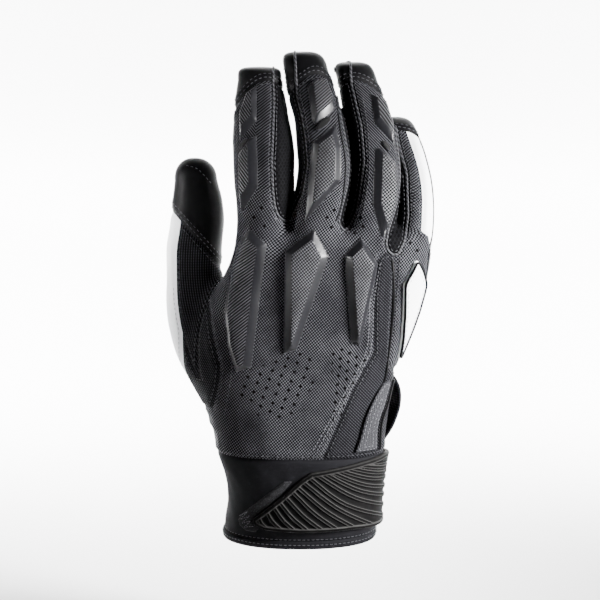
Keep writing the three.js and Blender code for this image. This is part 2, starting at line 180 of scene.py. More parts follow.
def softJoin(a, b, reach):
    # The lesser of two distances, rounded where they are nearly equal
    h = np.maximum(reach - np.abs(a - b), 0) / reach
    return np.minimum(a, b) - h * h * reach / 4


def skinDistance(points, below=12, beside=14):
    # How far outside the glove each point is. A digit counts only near its own rows.
    hand = place(forms["hand"], points)[0]
    total = hand.copy()
    for name, digit in digits.items():
        rows = digit["rows"]
        near = points[:, 2] > rows["z"][0] - below
        near &= np.abs(points[:, 0] - along(rows, "x", points[:, 2])) < rows["wide"].max() / 2 + beside
        if near.any():
            d = place(forms[name], points[near])[0]
            total[near] = np.minimum(total[near], softJoin(hand[near], d, digit["blend"]))
    return total


class Shell:
    # A mesh held as one array, a row per vertex with named columns, and a list of triangles
    def __init__(self, data, tris, names):
        self.data, self.tris, self.names = data, tris, names

    def __getitem__(self, name):
        if name == "at":
            return self.data[:, :3]
        if name == "flat":
            return self.data[:, [0, 2]]
        if name == "normal":
            return self.data[:, 3:6]
        return self.data[:, self.names[name]]

    def put(self, name, values):
        if name in self.names:
            self.data[:, self.names[name]] = values
        else:
            self.names = dict(self.names, **{name: self.data.shape[1]})
            self.data = np.column_stack([self.data, values])


def normalsOf(at, tris):
    a, b, c = at[tris[:, 0]], at[tris[:, 1]], at[tris[:, 2]]
    face = np.cross(b - a, c - a)
    out = np.zeros_like(at)
    for k in range(3):
        np.add.at(out, tris[:, k], face)
    return out / (np.linalg.norm(out, axis=1, keepdims=True) + 1e-12)


def relax(tris, values, times):
    # Averages values with their neighbours
    pairs = np.concatenate([tris[:, [0, 1]], tris[:, [1, 2]], tris[:, [2, 0]]])
    pairs = np.concatenate([pairs, pairs[:, ::-1]])
    count = np.bincount(pairs[:, 0], minlength=len(values))
    for _ in range(times):
        values = np.bincount(pairs[:, 0], values[pairs[:, 1]], minlength=len(values)) / np.maximum(count, 1)
    return values


def surfaceNet(field, origin, step):
    # Vertices in the grid's cells that the surface crosses, joined across each crossed edge
    inside = field < 0
    corners = [(i, j, k) for i in (0, 1) for j in (0, 1) for k in (0, 1)]
    nx, ny, nz = (n - 1 for n in field.shape)
    count = sum(inside[i:i + nx, j:j + ny, k:k + nz].astype(np.int8) for i, j, k in corners)
    cells = np.argwhere((count > 0) & (count < 8))
    total = np.zeros((len(cells), 3))
    hits = np.zeros(len(cells))
    for p in corners:
        for axis in range(3):
            if p[axis]:
                continue
            q = list(p)
            q[axis] = 1
            a = field[tuple((cells + p).T)]
            b = field[tuple((cells + q).T)]
            crossed = (a < 0) != (b < 0)
            t = np.where(crossed, a / np.where(crossed, a - b, 1), 0)
            spot = np.array(p, float) + t[:, None] * (np.array(q) - p)
            total += spot * crossed[:, None]
            hits += crossed
    at = origin + step * (cells + total / hits[:, None])
    index = np.full((nx, ny, nz), -1, np.int64)
    index[tuple(cells.T)] = np.arange(len(cells))
    quads = []
    for axis in range(3):
        u, v = [(1, 2), (2, 0), (0, 1)][axis]
        low = np.take(inside, range(0, field.shape[axis] - 1), axis)
        high = np.take(inside, range(1, field.shape[axis]), axis)
        edges = np.argwhere(low != high)
        edges = edges[(edges[:, u] > 0) & (edges[:, v] > 0) & (edges[:, u] < field.shape[u] - 1)]
        edges = edges[edges[:, v] < field.shape[v] - 1]
        ring = []
        for du, dv in ((0, 0), (-1, 0), (-1, -1), (0, -1)):
            cell = edges.copy()
            cell[:, u] += du
            cell[:, v] += dv
            ring.append(index[tuple(cell.T)])
        ring = np.array(ring).T
        outward = low[tuple(edges.T)]
        ring[~outward] = ring[~outward][:, ::-1]
        quads.append(ring[(ring >= 0).all(1)])
    quads = np.concatenate(quads)
    return at, np.concatenate([quads[:, [0, 1, 2]], quads[:, [0, 2, 3]]])


def split(shell, field):
    # Cuts the triangles along the line where the field is zero. Both sides keep one vertex array.
    data, tris = shell.data, shell.tris
    field = np.where(np.abs(field) < 1e-5, 1e-5, field)
    over = field > 0
    count = over[tris].sum(1)
    inner, outer, mixed = tris[count == 3], tris[count == 0], tris[(count == 1) | (count == 2)]
    if len(mixed) == 0:
        return data, inner, outer, np.zeros((0, 2), int)
    odd = np.where((count[(count == 1) | (count == 2)] == 1)[:, None], over[mixed], ~over[mixed]).argmax(1)
    spin = (odd[:, None] + np.arange(3)) % 3
    a, b, c = np.take_along_axis(mixed, spin, 1).T
    pairs = np.sort(np.concatenate([np.column_stack([a, b]), np.column_stack([a, c])]), axis=1)
    edges, back = np.unique(pairs, axis=0, return_inverse=True)
    back = back.reshape(-1)
    t = field[edges[:, 0]] / (field[edges[:, 0]] - field[edges[:, 1]])
    fresh = data[edges[:, 0]] * (1 - t[:, None]) + data[edges[:, 1]] * t[:, None]
    data = np.concatenate([data, fresh])
    ab, ac = np.split(back + len(shell.data), 2)
    lone = np.column_stack([a, ab, ac])
    pair = np.concatenate([np.column_stack([ab, b, c]), np.column_stack([ab, c, ac])])
    single = over[a]
    twice = np.concatenate([single, single])
    inner = np.concatenate([inner, lone[single], pair[~twice]])
    outer = np.concatenate([outer, lone[~single], pair[twice]])
    return data, inner, outer, np.column_stack([ab, ac])


def compact(data, tris, names):
    # A shell of only the vertices that its triangles use
    used, flat = np.unique(tris, return_inverse=True)
    return Shell(data[used], flat.reshape(-1, 3), dict(names))


def keep(shell, field):
    # The part where the field is above zero
    data, inner, _, _ = split(shell, field)
    return compact(data, inner, shell.names)


def crease(shell, field):
    # The whole shell with edges along the zero line
    data, inner, outer, _ = split(shell, field)
    return Shell(data, np.concatenate([inner, outer]), dict(shell.names))


def isoLines(shell, field, shortest=6):
    # The zero line of a field as runs of places and normals
    data, _, _, line = split(shell, field)
    links = {}
    for a, b in line.tolist():
        links.setdefault(a, []).append(b)
        links.setdefault(b, []).append(a)
    runs = []
    ends = [n for n in links if len(links[n]) == 1] + list(links)
    seen = set()
    for start in ends:
        if start in seen:
            continue
        run, here = [start], start
        seen.add(start)
        while True:
            ahead = [n for n in links[here] if n not in seen]
            if not ahead:
                break
            here = ahead[0]
            seen.add(here)
            run.append(here)
        if len(run) > shortest:
            closing = [run[0]] if run[0] in links[here] else []
            runs.append(data[run + closing, :6])
    return runs


def toOutline(points, outline):
    # Signed distance to a closed outline, positive inside
    poly = np.array(outline, float)
    best = np.full(len(points), 1e9)
    inside = np.zeros(len(points), bool)
    for a, b in zip(poly, np.roll(poly, -1, axis=0)):
        ab = b - a
        t = np.clip(((points - a) @ ab) / (ab @ ab), 0, 1)
        best = np.minimum(best, np.linalg.norm(points - a - t[:, None] * ab, axis=1))
        crosses = (a[1] > points[:, 1]) != (b[1] > points[:, 1])
        rise = np.where(abs(ab[1]) < 1e-9, 1e-9, ab[1])
        inside ^= crosses & (points[:, 0] < a[0] + (points[:, 1] - a[1]) * ab[0] / rise)
    return np.where(inside, best, -best)


def toLine(points, line):
    # Distance to an open line
    best = np.full(len(points), 1e9)
    for a, b in zip(line[:-1], line[1:]):
        ab = b - a
        t = np.clip(((points - a) @ ab) / (ab @ ab), 0, 1)
        best = np.minimum(best, np.linalg.norm(points - a - t[:, None] * ab, axis=1))
    return best


def smooth(low, high, x):
    # Eases from 0 at low to 1 at high
    t = np.clip((x - low) / (high - low), 0, 1)
    return t * t * (3 - 2 * t)


def rounded(points, steps=6, closed=False):
    # A curve through the points
    p = np.array(points, float)
    before = np.roll(p, 1, 0) if closed else np.vstack([p[:1], p[:-1]])
    after = np.roll(p, -1, 0) if closed else np.vstack([p[1:], p[-1:]])
    tangent = (after - before) / 2
    out = []
    for i in range(len(p) if closed else len(p) - 1):
        j = (i + 1) % len(p)
        for u in np.arange(steps) / steps:
            h = u * u * (3 - 2 * u)
            out.append(p[i] + (p[j] - p[i]) * h + u * (1 - u) * (tangent[i] * (1 - u) - tangent[j] * u))
    if not closed:
        out.append(p[-1])
    return np.array(out)


def waves(at, scale, seed, octaves=3, each=5, cycle=6.28):
    # Slow, seeded unevenness in space: a sum of sine waves, each octave half as long and half as high
    own = np.random.default_rng(seed)
    total = np.zeros(len(at))
    for octave in range(octaves):
        for _ in range(each):
            way = own.normal(size=3)
            way *= 2**octave / scale / np.linalg.norm(way)
            total += np.sin(at @ way * cycle + own.uniform(0, cycle)) / 2**octave
    return total / each


collection = bpy.context.scene.collection


def makeObject(name, at, faces, material, node=None, values=None, sharp=38, stage=False):
    # A mesh in metres that rides the part's one body, or that only dresses the stage
    mesh = bpy.data.meshes.new(name)
    at = np.ascontiguousarray(at, np.float32) * 0.001
    faces = np.ascontiguousarray(faces, np.int32)
    corners = faces.shape[1]
    mesh.vertices.add(len(at))
    mesh.vertices.foreach_set("co", at.ravel())
    mesh.loops.add(faces.size)
    mesh.loops.foreach_set("vertex_index", faces.ravel())
    mesh.polygons.add(len(faces))
    mesh.polygons.foreach_set("loop_start", np.arange(0, faces.size, corners, dtype=np.int32))
    mesh.polygons.foreach_set("loop_total", np.full(len(faces), corners, dtype=np.int32))
    mesh.update(calc_edges=True)
    mesh.validate()
    mesh.shade_smooth()
    if sharp:
        mesh.set_sharp_from_angle(angle=math.radians(sharp))
    for key, value in (values or {}).items():
        if value.ndim == 1:
            mesh.attributes.new(key, "FLOAT", "POINT").data.foreach_set("value", value.astype(np.float32))
        else:
            layer = mesh.attributes.new(key, "FLOAT_VECTOR", "POINT")
            layer.data.foreach_set("vector", value.astype(np.float32).ravel())
    mesh.materials.append(material)
    piece = bpy.data.objects.new(name, mesh)
    collection.objects.link(piece)
    if stage:
        return piece
    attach(piece, "root")
    if node:
        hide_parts(node)
    return piece


def thicken(shell, depth):
    # A closed solid: the sheet, the same sheet one depth in, and a wall round its edge
    at, tris, n = shell["at"], shell.tris, len(shell.data)
    under = at - shell["normal"] * np.broadcast_to(depth, n)[:, None]
    halves = np.concatenate([tris[:, [0, 1]], tris[:, [1, 2]], tris[:, [2, 0]]])
    key = np.sort(halves, 1)
    _, first, count = np.unique(key, axis=0, return_index=True, return_counts=True)
    rim = halves[first[count == 1]]
    a, b = rim.T
    wall = np.concatenate([np.column_stack([b, a, a + n]), np.column_stack([b, a + n, b + n])])
    return np.concatenate([at, under]), np.concatenate([tris, tris[:, ::-1] + n, wall])


def carried(shell, names):
    # The values that both sides of a thickened sheet take to their material
    out = {}
    for name in names:
        if name == "weave":
            value = np.column_stack([shell["u"], shell["v"], np.zeros(len(shell.data))])
        else:
            value = shell[name]
        out[name] = np.concatenate([value, value])
    return out


def makeSheet(name, shell, depth, look, node, values=(), sharp=38):
    # A piece with a sheet as its outside
    at, tris = thicken(shell, depth)
    return makeObject(name, at, tris, looks[look], node, carried(shell, values), sharp)


def mathNode(kind, flip=False):
    # A method of Wire that adds one Math node
    def method(self, other=0.0):
        pair = (other, self) if flip else (self, other)
        return self.recipe.node("Math", dict(operation=kind), dict(enumerate(pair)))
    return method


class Wire:
    # A socket that takes part in sums as a number does
    def __init__(self, recipe, socket):
        self.recipe, self.socket = recipe, socket

    __add__, __radd__ = mathNode("ADD"), mathNode("ADD", flip=True)
    __sub__, __rsub__ = mathNode("SUBTRACT"), mathNode("SUBTRACT", flip=True)
    __mul__, __truediv__, __pow__ = mathNode("MULTIPLY"), mathNode("DIVIDE"), mathNode("POWER")
    sin, abs, fract, top = mathNode("SINE"), mathNode("ABSOLUTE"), mathNode("FRACT"), mathNode("MAXIMUM")

    def ramp(self, low, high, a=0.0, b=1.0):
        settings = dict(interpolation_type="SMOOTHSTEP")
        return self.recipe.node("MapRange", settings, {0: self, 1: low, 2: high, 3: a, 4: b})


class Recipe:
    # One material: places and lengths are in millimetres
    def __init__(self, name):
        self.material = bpy.data.materials.new(name)
        self.material.use_nodes = True
        self.tree = self.material.node_tree
        self.shader = self.tree.nodes["Principled BSDF"]

    def node(self, kind, settings=None, inputs=None, output=0):
        made = self.tree.nodes.new("ShaderNode" + kind)
        for key, value in (settings or {}).items():
            setattr(made, key, value)
        for key, value in (inputs or {}).items():
            self.set(made.inputs[key], value)
        return Wire(self, made.outputs[output])

    def set(self, socket, value):
        if isinstance(value, Wire):
            self.tree.links.new(value.socket, socket)
        else:
            socket.default_value = value

    def stored(self, name, output="Fac"):
        # A number stored on the mesh, or with the output Vector a place
        return self.node("Attribute", dict(attribute_name=name), output=output)

    def axes(self, vector):
        first = self.node("SeparateXYZ", None, {0: vector})
        return [Wire(self, socket) for socket in first.socket.node.outputs]

    def inMillimetres(self):
        spot = self.node("TexCoord", output="Object")
        return self.node("VectorMath", dict(operation="SCALE"), {0: spot, "Scale": 1000.0})

    def places(self):
        # The place in millimetres, and the cloth coordinates across and along
        u, v, _ = self.axes(self.stored("weave", "Vector"))
        return self.inMillimetres(), u, v

    def noise(self, spot, scale, detail=3.0, rough=0.55):
        # Scale is in grains per millimetre
        inputs = {"Vector": spot, "Scale": scale, "Detail": detail, "Roughness": rough}
        return self.node("TexNoise", None, inputs)

    def grain(self, spot, scale, width):
        # Leather's cells: 0 in the creases and 1 on top
        inputs = {"Vector": spot, "Scale": scale}
        return self.node("TexVoronoi", dict(feature="DISTANCE_TO_EDGE"), inputs).ramp(0.0, width)

    def mix(self, share, a, b):
        a, b = (value if isinstance(value, Wire) else (*value, 1.0) for value in (a, b))
        return self.node("Mix", dict(data_type="RGBA"), {0: share, 6: a, 7: b}, 2)

    def bump(self, height, strength, depth, below=None):
        # Height runs from 0 to 1 and stands for a depth in millimetres
        inputs = {"Height": height, "Strength": strength, "Distance": depth * 0.001}
        if below:
            inputs["Normal"] = below
        return self.node("Bump", None, inputs)

    def done(self, color, roughness, normal=None, shine=0.5):
        self.set(self.shader.inputs["Base Color"], color)
        self.set(self.shader.inputs["Roughness"], roughness)
        if normal:
            self.set(self.shader.inputs["Normal"], normal)
        self.shader.inputs["Specular IOR Level"].default_value = shine
        return self.material


def disc(du, dv, size):
    # 1 inside a round spot and 0 outside it
    return ((du * du + dv * dv) ** 0.5).ramp(size * 1.25, size * 0.75)


def lattice(u, v, slant, cell):
    # Crossed threads with dark gaps. A slant of 1 leaves only rising lines, -1 only falling ones.
    steep, low = math.radians(50), math.radians(36)
    rising = ((u * math.cos(steep) - v * math.sin(steep)) * (math.tau / cell)).sin()
    falling = ((u * math.cos(low) + v * math.sin(low)) * (math.tau / cell)).sin()
    both = rising * (1.0 - (slant * -1.0).top(0.0)) + falling * (1.0 - slant.top(0.0))
    return both.ramp(-0.35, 1.05)


def dots(u, v, across, up, size):
    # Round dots on a slanted grid, 1 in a dot and 0 between: across and up are its two steps
    area = across[0] * up[1] - across[1] * up[0]
    s = ((u * up[1] - v * up[0]) / area).fract() - 0.5
    t = ((v * across[0] - u * across[1]) / area).fract() - 0.5
    return disc(s * across[0] + t * up[0], s * across[1] + t * up[1], size)


# Colours, cell sizes in millimetres, roughness and shine of each material
textileLook = dict(
    gap=(0.0004, 0.0004, 0.0006), thread=(0.06, 0.06, 0.067), worn=(0.033, 0.033, 0.038),
    # The fingers' share darkens their cloth with painted shade
    cell=1.14, fingers=0.4, rough=0.4, gapRough=0.95, shine=0.06, padShine=0.22,
    # The hole colour is painted shade inside the holes
    hole=(0.0004, 0.0004, 0.0005), holeSize=0.76,
    leftHoles=((-6.1, -1.85), (-1.5, -4.5)), rightHoles=((3.75, -2.0), (-0.5, -4.4)),
)
padLook = dict(bevel=(0.0035, 0.0035, 0.0043), scuff=(0.007, 0.007, 0.0085), rough=0.33)
meshLook = dict(
    base=(0.0008, 0.0008, 0.0012), knit=(0.003, 0.003, 0.0036), hole=(0.0003, 0.0003, 0.0004),
    cell=2.1, rough=0.66, shine=0.04,
)
ribLook = dict(
    gap=(0.0004, 0.0004, 0.0006), thread=(0.02, 0.02, 0.0235), rib=1.15, cross=1.3, rough=0.9, shine=0.05,
)
leatherLook = dict(
    base=(0.0012, 0.0012, 0.0015), worn=(0.0026, 0.0026, 0.003), rough=0.46, grain=0.35, shine=0.06,
)
whiteLook = dict(
    base=(0.84, 0.84, 0.855), soil=(0.60, 0.60, 0.61), crease=(0.5, 0.5, 0.51), rough=0.42,
)
neopreneLook = dict(
    base=(0.0016, 0.0016, 0.0023), knit=(0.007, 0.007, 0.0085), lint=(0.011, 0.011, 0.013),
    rough=0.8, shine=0.08,
)
# In the strap look the line colour is a painted highlight and the groove colour painted shade
strapLook = dict(
    base=(0.0010, 0.0010, 0.0010), worn=(0.0021, 0.0020, 0.0020), line=(0.022, 0.0215, 0.021),
    groove=(0.0008, 0.0008, 0.0008), rough=0.6, edge=0.72, border=2.0, rim=0.35, shine=0.04,
)
hookLook = dict(base=(0.004, 0.004, 0.005), tips=(0.05, 0.05, 0.055), rough=0.85, shine=0.2)
webbingLook = dict(
    dark=(0.006, 0.006, 0.0075), light=(0.028, 0.028, 0.031), worn=(0.03, 0.03, 0.034), rough=0.62, shine=0.1,
)
# The slot's base colour is painted shade inside the opening
slotLook = dict(base=(0.0004, 0.0004, 0.0005), lip=(0.016, 0.016, 0.019), rough=0.6, shine=0.15)
threadLook = dict(
    dark=(0.03, 0.03, 0.034), pale=(0.09, 0.09, 0.1), white=(0.62, 0.62, 0.64), welt=(0.038, 0.038, 0.043),
    rough=0.55, shine=0.2,
)

# Single holes between the roots of the fingers
holeSpots = [
    (-22.0, 169.5), (-25.5, 164.9), (-20.6, 160.8), (13.6, 168.3), (10.2, 165.1), (12.1, 160.1),
    (26.4, 164.5), (27.8, 160.4), (23.5, 157.1), (51.0, 151.7), (54.5, 148.1),
]


def textile(name, padded=False):
    # Crossed threads, darkened up the fingers with painted shade, smooth on a pad's bevels, perforated where
    # holes is set, the holes near-black with painted shade
    look, r = textileLook, Recipe(name)
    spot, u, v = r.places()
    x, _, z = r.axes(spot)
    weave = lattice(u, v, r.stored("slant"), look["cell"])
    thread = r.mix(r.noise(spot, 0.06).ramp(0.35, 0.7), look["thread"], look["worn"])
    # Painted shade: up the fingers the threads are darkened towards the gap colour
    thread = r.mix(z.ramp(150.0, 205.0) * look["fingers"], thread, look["gap"])
    cloth = r.mix(weave, look["gap"], thread)
    rough = look["gapRough"] - weave * (look["gapRough"] - look["rough"]) + r.noise(spot, 0.8) * 0.08
    if padded:
        top = r.stored("facet").ramp(0.93, 1.03)
        bevel = r.mix(r.noise(spot, 0.5, 4.0), padLook["bevel"], padLook["scuff"])
        cloth = r.mix(top, bevel, cloth)
        rough = (rough - padLook["rough"]) * top + padLook["rough"]
        height = weave * top
    else:
        field, size = r.stored("holes"), look["holeSize"]
        hole = dots(x, z, *look["leftHoles"], size) * field.ramp(0.3, 0.6)
        hole = hole + dots(x, z, *look["rightHoles"], size) * (field * -1.0).ramp(0.3, 0.6)
        for holeX, holeZ in holeSpots:
            hole = hole.top(disc(x - holeX, z - holeZ, size))
        # Painted shade: the holes are coloured near-black
        cloth = r.mix(hole, cloth, look["hole"])
        rough = rough + hole * 0.5
        height = weave * (1.0 - hole) - hole * 2.0
    normal = r.bump(r.noise(spot, 0.9, 4.0), 0.2, 0.1, below=r.bump(height, 0.6, 0.2))
    return r.done(cloth, rough, normal, look["padShine" if padded else "shine"])


def perforated(name):
    # Knitted mesh with round holes, coloured darker as painted shade inside them
    look, r = meshLook, Recipe(name)
    spot, u, v = r.places()
    cell = look["cell"]
    hole = dots(u, v, (cell, 0.0), (cell / 2, cell * 0.75), cell * 0.3)
    knit = ((u * 7.5).sin() * (v * 7.5).sin()).ramp(-1.0, 1.0)
    # Painted shade: the holes are coloured darker than the knit
    color = r.mix(hole, r.mix(knit * 0.6, look["base"], look["knit"]), look["hole"])
    rough = look["rough"] + r.noise(spot, 0.7) * 0.2
    return r.done(color, rough, r.bump(knit * 0.4 - hole, 0.7, 0.25), look["shine"])


def ribbed(name):
    # Stretch cloth: fine ribs with a weaker cross thread
    look, r = ribLook, Recipe(name)
    spot, u, v = r.places()
    rib = (u * (math.tau / look["rib"])).sin().ramp(-0.4, 0.8)
    cross = (v * (math.tau / look["cross"])).sin().ramp(-0.9, 0.6)
    knit = rib * (0.45 + cross * 0.55)
    color = r.mix(knit, look["gap"], look["thread"])
    color = r.mix(r.noise(spot, 0.08, 4.0).ramp(0.45, 0.8) * 0.35, color, look["gap"])
    return r.done(color, look["rough"] - knit * 0.35, r.bump(knit, 0.6, 0.2), look["shine"])


def leather(name):
    look, r = leatherLook, Recipe(name)
    spot = r.inMillimetres()
    rough = look["rough"] + r.noise(spot, 0.12) * 0.12
    color = r.mix(r.noise(spot, 0.1), look["base"], look["worn"])
    fine = r.bump(r.grain(spot, 1.5, 0.32), 0.22 * look["grain"], 0.1)
    return r.done(color, rough, r.bump(r.noise(spot, 0.09, 2.0), 0.3, 0.9, below=fine), look["shine"])


def whiteLeather(name):
    look, r = whiteLook, Recipe(name)
    spot = r.inMillimetres()
    grain = r.grain(spot, 1.1, 0.3)
    soil = r.noise(spot, 0.05, 5.0).ramp(0.5, 0.85)
    color = r.mix(soil * 0.35, look["base"], look["soil"])
    color = r.mix(grain * -0.12 + 0.12, color, look["crease"])
    normal = r.bump(r.noise(spot, 0.12), 0.5, 0.8, below=r.bump(grain, 0.3, 0.12))
    return r.done(color, look["rough"] + r.noise(spot, 0.4) * 0.15, normal)


def neoprene(name):
    # A fine knit facing with some lint
    look, r = neopreneLook, Recipe(name)
    spot, u, v = r.places()
    knit = ((u * 9.0).sin() * (v * 9.0 + (u * 9.0).sin()).sin()).ramp(-1.0, 1.0)
    lint = r.noise(spot, 0.35, 5.0).ramp(0.5, 0.75)
    color = r.mix(lint * 0.3, r.mix(knit * 0.5, look["base"], look["knit"]), look["lint"])
    return r.done(color, look["rough"] + lint * 0.08, r.bump(knit, 0.4, 0.1), look["shine"])


def rubber(name):
    # Moulded ribs with a thin bright line along both edges, and one along the border. The bright lines are
    # painted highlights on the crests, and the darker groove down each rib's middle is painted shade.
    look, r = strapLook, Recipe(name)
    spot = r.inMillimetres()
    rib, rim = r.stored("ribDistance"), r.stored("rim")
    inside = rim.ramp(look["border"] - 0.2, look["border"] + 0.5)
    # Painted highlights: thin bright lines on the ribs' edges and along the border
    line = (rib - look["edge"]).abs().ramp(0.3, 0.08) * inside
    line = line.top((rim - look["border"]).abs().ramp(0.5, 0.15))
    line = line.top((rim - look["rim"]).abs().ramp(0.4, 0.1) * 0.6)
    # Painted shade: a darker groove down each rib's middle
    groove = rib.ramp(0.5, 0.25) * inside
    color = r.mix(r.noise(spot, 0.12, 4.0).ramp(0.4, 0.75), look["base"], look["worn"])
    color = r.mix(groove, r.mix(line, color, look["line"]), look["groove"])
    rough = look["rough"] + r.noise(spot, 0.6, 4.0) * 0.14
    normal = r.bump(r.noise(spot, 2.2), 0.3, 0.06, below=r.bump(line - groove, 0.7, 0.3))
    return r.done(color, rough, normal, look["shine"])


def hookTape(name):
    look, r = hookLook, Recipe(name)
    fuzz = r.noise(r.inMillimetres(), 2.4, 5.0, 0.8)
    color = r.mix(fuzz.ramp(0.5, 0.72), look["base"], look["tips"])
    return r.done(color, look["rough"] + fuzz * 0.1, r.bump(fuzz, 1.0, 0.6), look["shine"])


def webbing(name):
    look, r = webbingLook, Recipe(name)
    spot, u, v = r.places()
    warp = (u * 8.0).sin().ramp(-0.9, 0.9)
    weft = ((v * 6.5).sin() * (u * 4.0).sin()).ramp(-0.8, 0.8)
    cloth = warp * 0.5 + weft * 0.5
    color = r.mix(cloth, look["dark"], look["light"])
    color = r.mix(r.noise(spot, 0.2, 4.0).ramp(0.45, 0.8) * 0.4, color, look["worn"])
    return r.done(color, look["rough"] + cloth * 0.15, r.bump(cloth, 0.7, 0.25), look["shine"])


def eyelet(name):
    # A slot whose black middle is painted shade inside the opening, with a lighter lip
    look, r = slotLook, Recipe(name)
    lip = r.stored("facet").ramp(0.95, 0.5)
    color = r.mix(lip, look["base"], look["lip"])
    rough = look["rough"] + r.noise(r.inMillimetres(), 0.9) * 0.2
    return r.done(color, rough, r.bump(lip, 0.8, 0.5), look["shine"])


def thread(name, kind, turns=9.0, valleyShade=0.55):
    # Twisted thread: the valleys between its turns are painted darker as painted shade, a share of its colour
    look, r = threadLook, Recipe(name)
    x, _, z = r.axes(r.inMillimetres())
    twist = (x * turns + z * turns).sin().ramp(-0.7, 0.7)
    # Painted shade: the valleys take a share of the thread's colour
    shade = r.mix(twist, [c * valleyShade for c in look[kind]], look[kind])
    return r.done(shade, look["rough"] + twist * 0.2, r.bump(twist, 0.6, 0.25), look["shine"])


looks = dict(
    eyelet=eyelet("eyelet"), textile=textile("textile"), pad=textile("pad_cloth", padded=True),
    mesh=perforated("mesh_knit"), ribbed=ribbed("stretch_rib"), leather=leather("black_leather"),
    white=whiteLeather("grip_leather"), neoprene=neoprene("neoprene"), rubber=rubber("strap_rubber"),
    hook=hookTape("hook_tape"), webbing=webbing("webbing"), thread=thread("dark_thread", "dark"),
    paleThread=thread("grey_thread", "pale"), whiteThread=thread("white_thread", "white"),
    welt=thread("welt_braid", "welt", 3.1, 0.06),
)

# The skin: hand and digits flow into each other, the fingers only meet at their roots
print("skin")
gridStep = 1.05
gridLow, gridHigh = np.array([-77.0, -33.0, 41.0]), np.array([69.0, 46.0, 247.0])
cells = np.ceil((gridHigh - gridLow) / gridStep).astype(int)
gridPoints = np.stack(np.meshgrid(*(np.arange(n) for n in cells), indexing="ij"), -1).reshape(-1, 3)
field = skinDistance(gridLow + gridStep * gridPoints).reshape(cells)
at, tris = surfaceNet(field, gridLow, gridStep)


def slopeOf(points, e=0.05):
    # How the distance to the skin rises along each axis
    nudges = e * np.eye(3)
    return np.column_stack([skinDistance(points + k) - skinDistance(points - k) for k in nudges]) / (2 * e)


# The vertices move onto the surface, and the webs between the fingers are softened
for _ in range(3):
    slope = slopeOf(at)
    move = skinDistance(at) / np.maximum((slope**2).sum(1), 0.05)
    at = at - slope * np.clip(move, -1, 1)[:, None]
webSoft = dict(gap=5, high=172, low=164, times=10)
digitGaps = np.sort([place(forms[name], at)[0] for name in digits], axis=0)
soft = np.exp(-(((digitGaps[1] - digitGaps[0]) / webSoft["gap"]) ** 2))
soft *= smooth(webSoft["high"], webSoft["low"], at[:, 2])
for k in range(3):
    at[:, k] += (relax(tris, at[:, k], webSoft["times"]) - at[:, k]) * soft
print("skin vertices", len(at), "triangles", len(tris))

skin = Shell(np.column_stack([at, normalsOf(at, tris)]), tris, {})
skinFoot = 45.2
skin = keep(skin, skin["at"][:, 2] - skinFoot)
at, seenAt = skin["at"], skin["flat"]

# Where each cap starts: a place on the seam and the ways its planes lean
capSeams = {
    "thumb": ((-58, 6, 154.5), [(1.14, 0.2, 1)]),
    "index": ((-22, 12, 230.5), [(-1.1, 0.6, 1), (0.25, 0.6, 1)]),
    "middle": ((6, 14, 234), [(-0.9, 0.6, 1), (0.9, 0.6, 1)]),
    "ring": ((25, 17, 230.5), [(-0.4, 0.6, 1), (0.6, 0.6, 1)]),
    "little": ((49, 24, 203), [(0.2, 0.8, 1)]),
}
# Seen from the front: down one finger's seam, round the crotch and up the next finger's seam
gussets = {
    "gusset_index_middle": [
        (-16.4, 250), (-16.4, 232), (-15.8, 220), (-16.2, 206), (-16.7, 192), (-16.2, 178), (-15.2, 170),
        (-13.3, 165), (-10.4, 162.4), (-7.2, 164), (-5, 169), (-1.5, 176), (0.9, 190), (-0.1, 202),
        (-2, 213), (-4.5, 222), (-6, 250),
    ],
    "gusset_middle_ring": [
        (14.5, 250), (14.8, 228), (17.3, 213), (18.7, 206), (21.6, 191.5), (20.6, 180), (17.6, 169),
        (16.1, 162.2), (18.2, 158), (21.2, 159.8), (24.5, 166.7), (26.5, 177.4), (28.4, 192), (27.1, 208),
        (24.7, 218), (22.4, 228), (22, 250),
    ],
    "gusset_ring_little": [
        (44.4, 206), (45.4, 197), (46.4, 188), (46.6, 181.5), (44.8, 169.7), (40.2, 157), (39.1, 151.7),
        (41, 147.2), (45, 146.3), (48.5, 153.2), (50.3, 164.5), (50.1, 176), (48.9, 188), (46.7, 197),
        (45.2, 206),
    ],
}
# In degrees round a finger from its back: the gussets' far edge, and the back panel's middle and half span
gussetRear = 152
backSpans = {"index": (0, 90), "middle": (0, 90), "ring": (0, 90), "little": (-35, 55)}
webPanel = [
    (-60, 124), (-48.6, 120.3), (-46.1, 104.3), (-42.5, 90.5), (-43.6, 80.7), (-47, 68), (-62, 66),
    (-62, 124),
]
stretchPanel = [
    (44.5, 150), (36, 146), (35, 143.8), (33.1, 125.4), (33.4, 98.5),
    (23.1, 79.8), (7.9, 45), (60, 45), (60, 70), (46, 84), (41.6, 92), (42.2, 114.3),
]
# The two fields of round holes on the lower back of the hand
leftHoles = [
    (-35, 84), (-28, 90), (-20.7, 93), (-3, 98.5), (4, 98.5), (4, 84), (-4, 71), (-12, 64), (-23, 66),
    (-33, 76),
]
rightHoles = [(12.5, 101), (21, 100.5), (31, 95), (30, 84), (21.5, 61), (12, 61)]


def arcOf(form, z):
    # Length round a section for each turn from its back
    turns = np.radians(np.arange(-180, 181, 2.0))
    _, _, a, b = section(form, np.array([float(z)]))
    r = roundness(form, turns)
    run = lengthAlong(np.column_stack([a * r * np.sin(turns), b * r * np.cos(turns)]))
    return np.degrees(turns), run - run[len(turns) // 2]


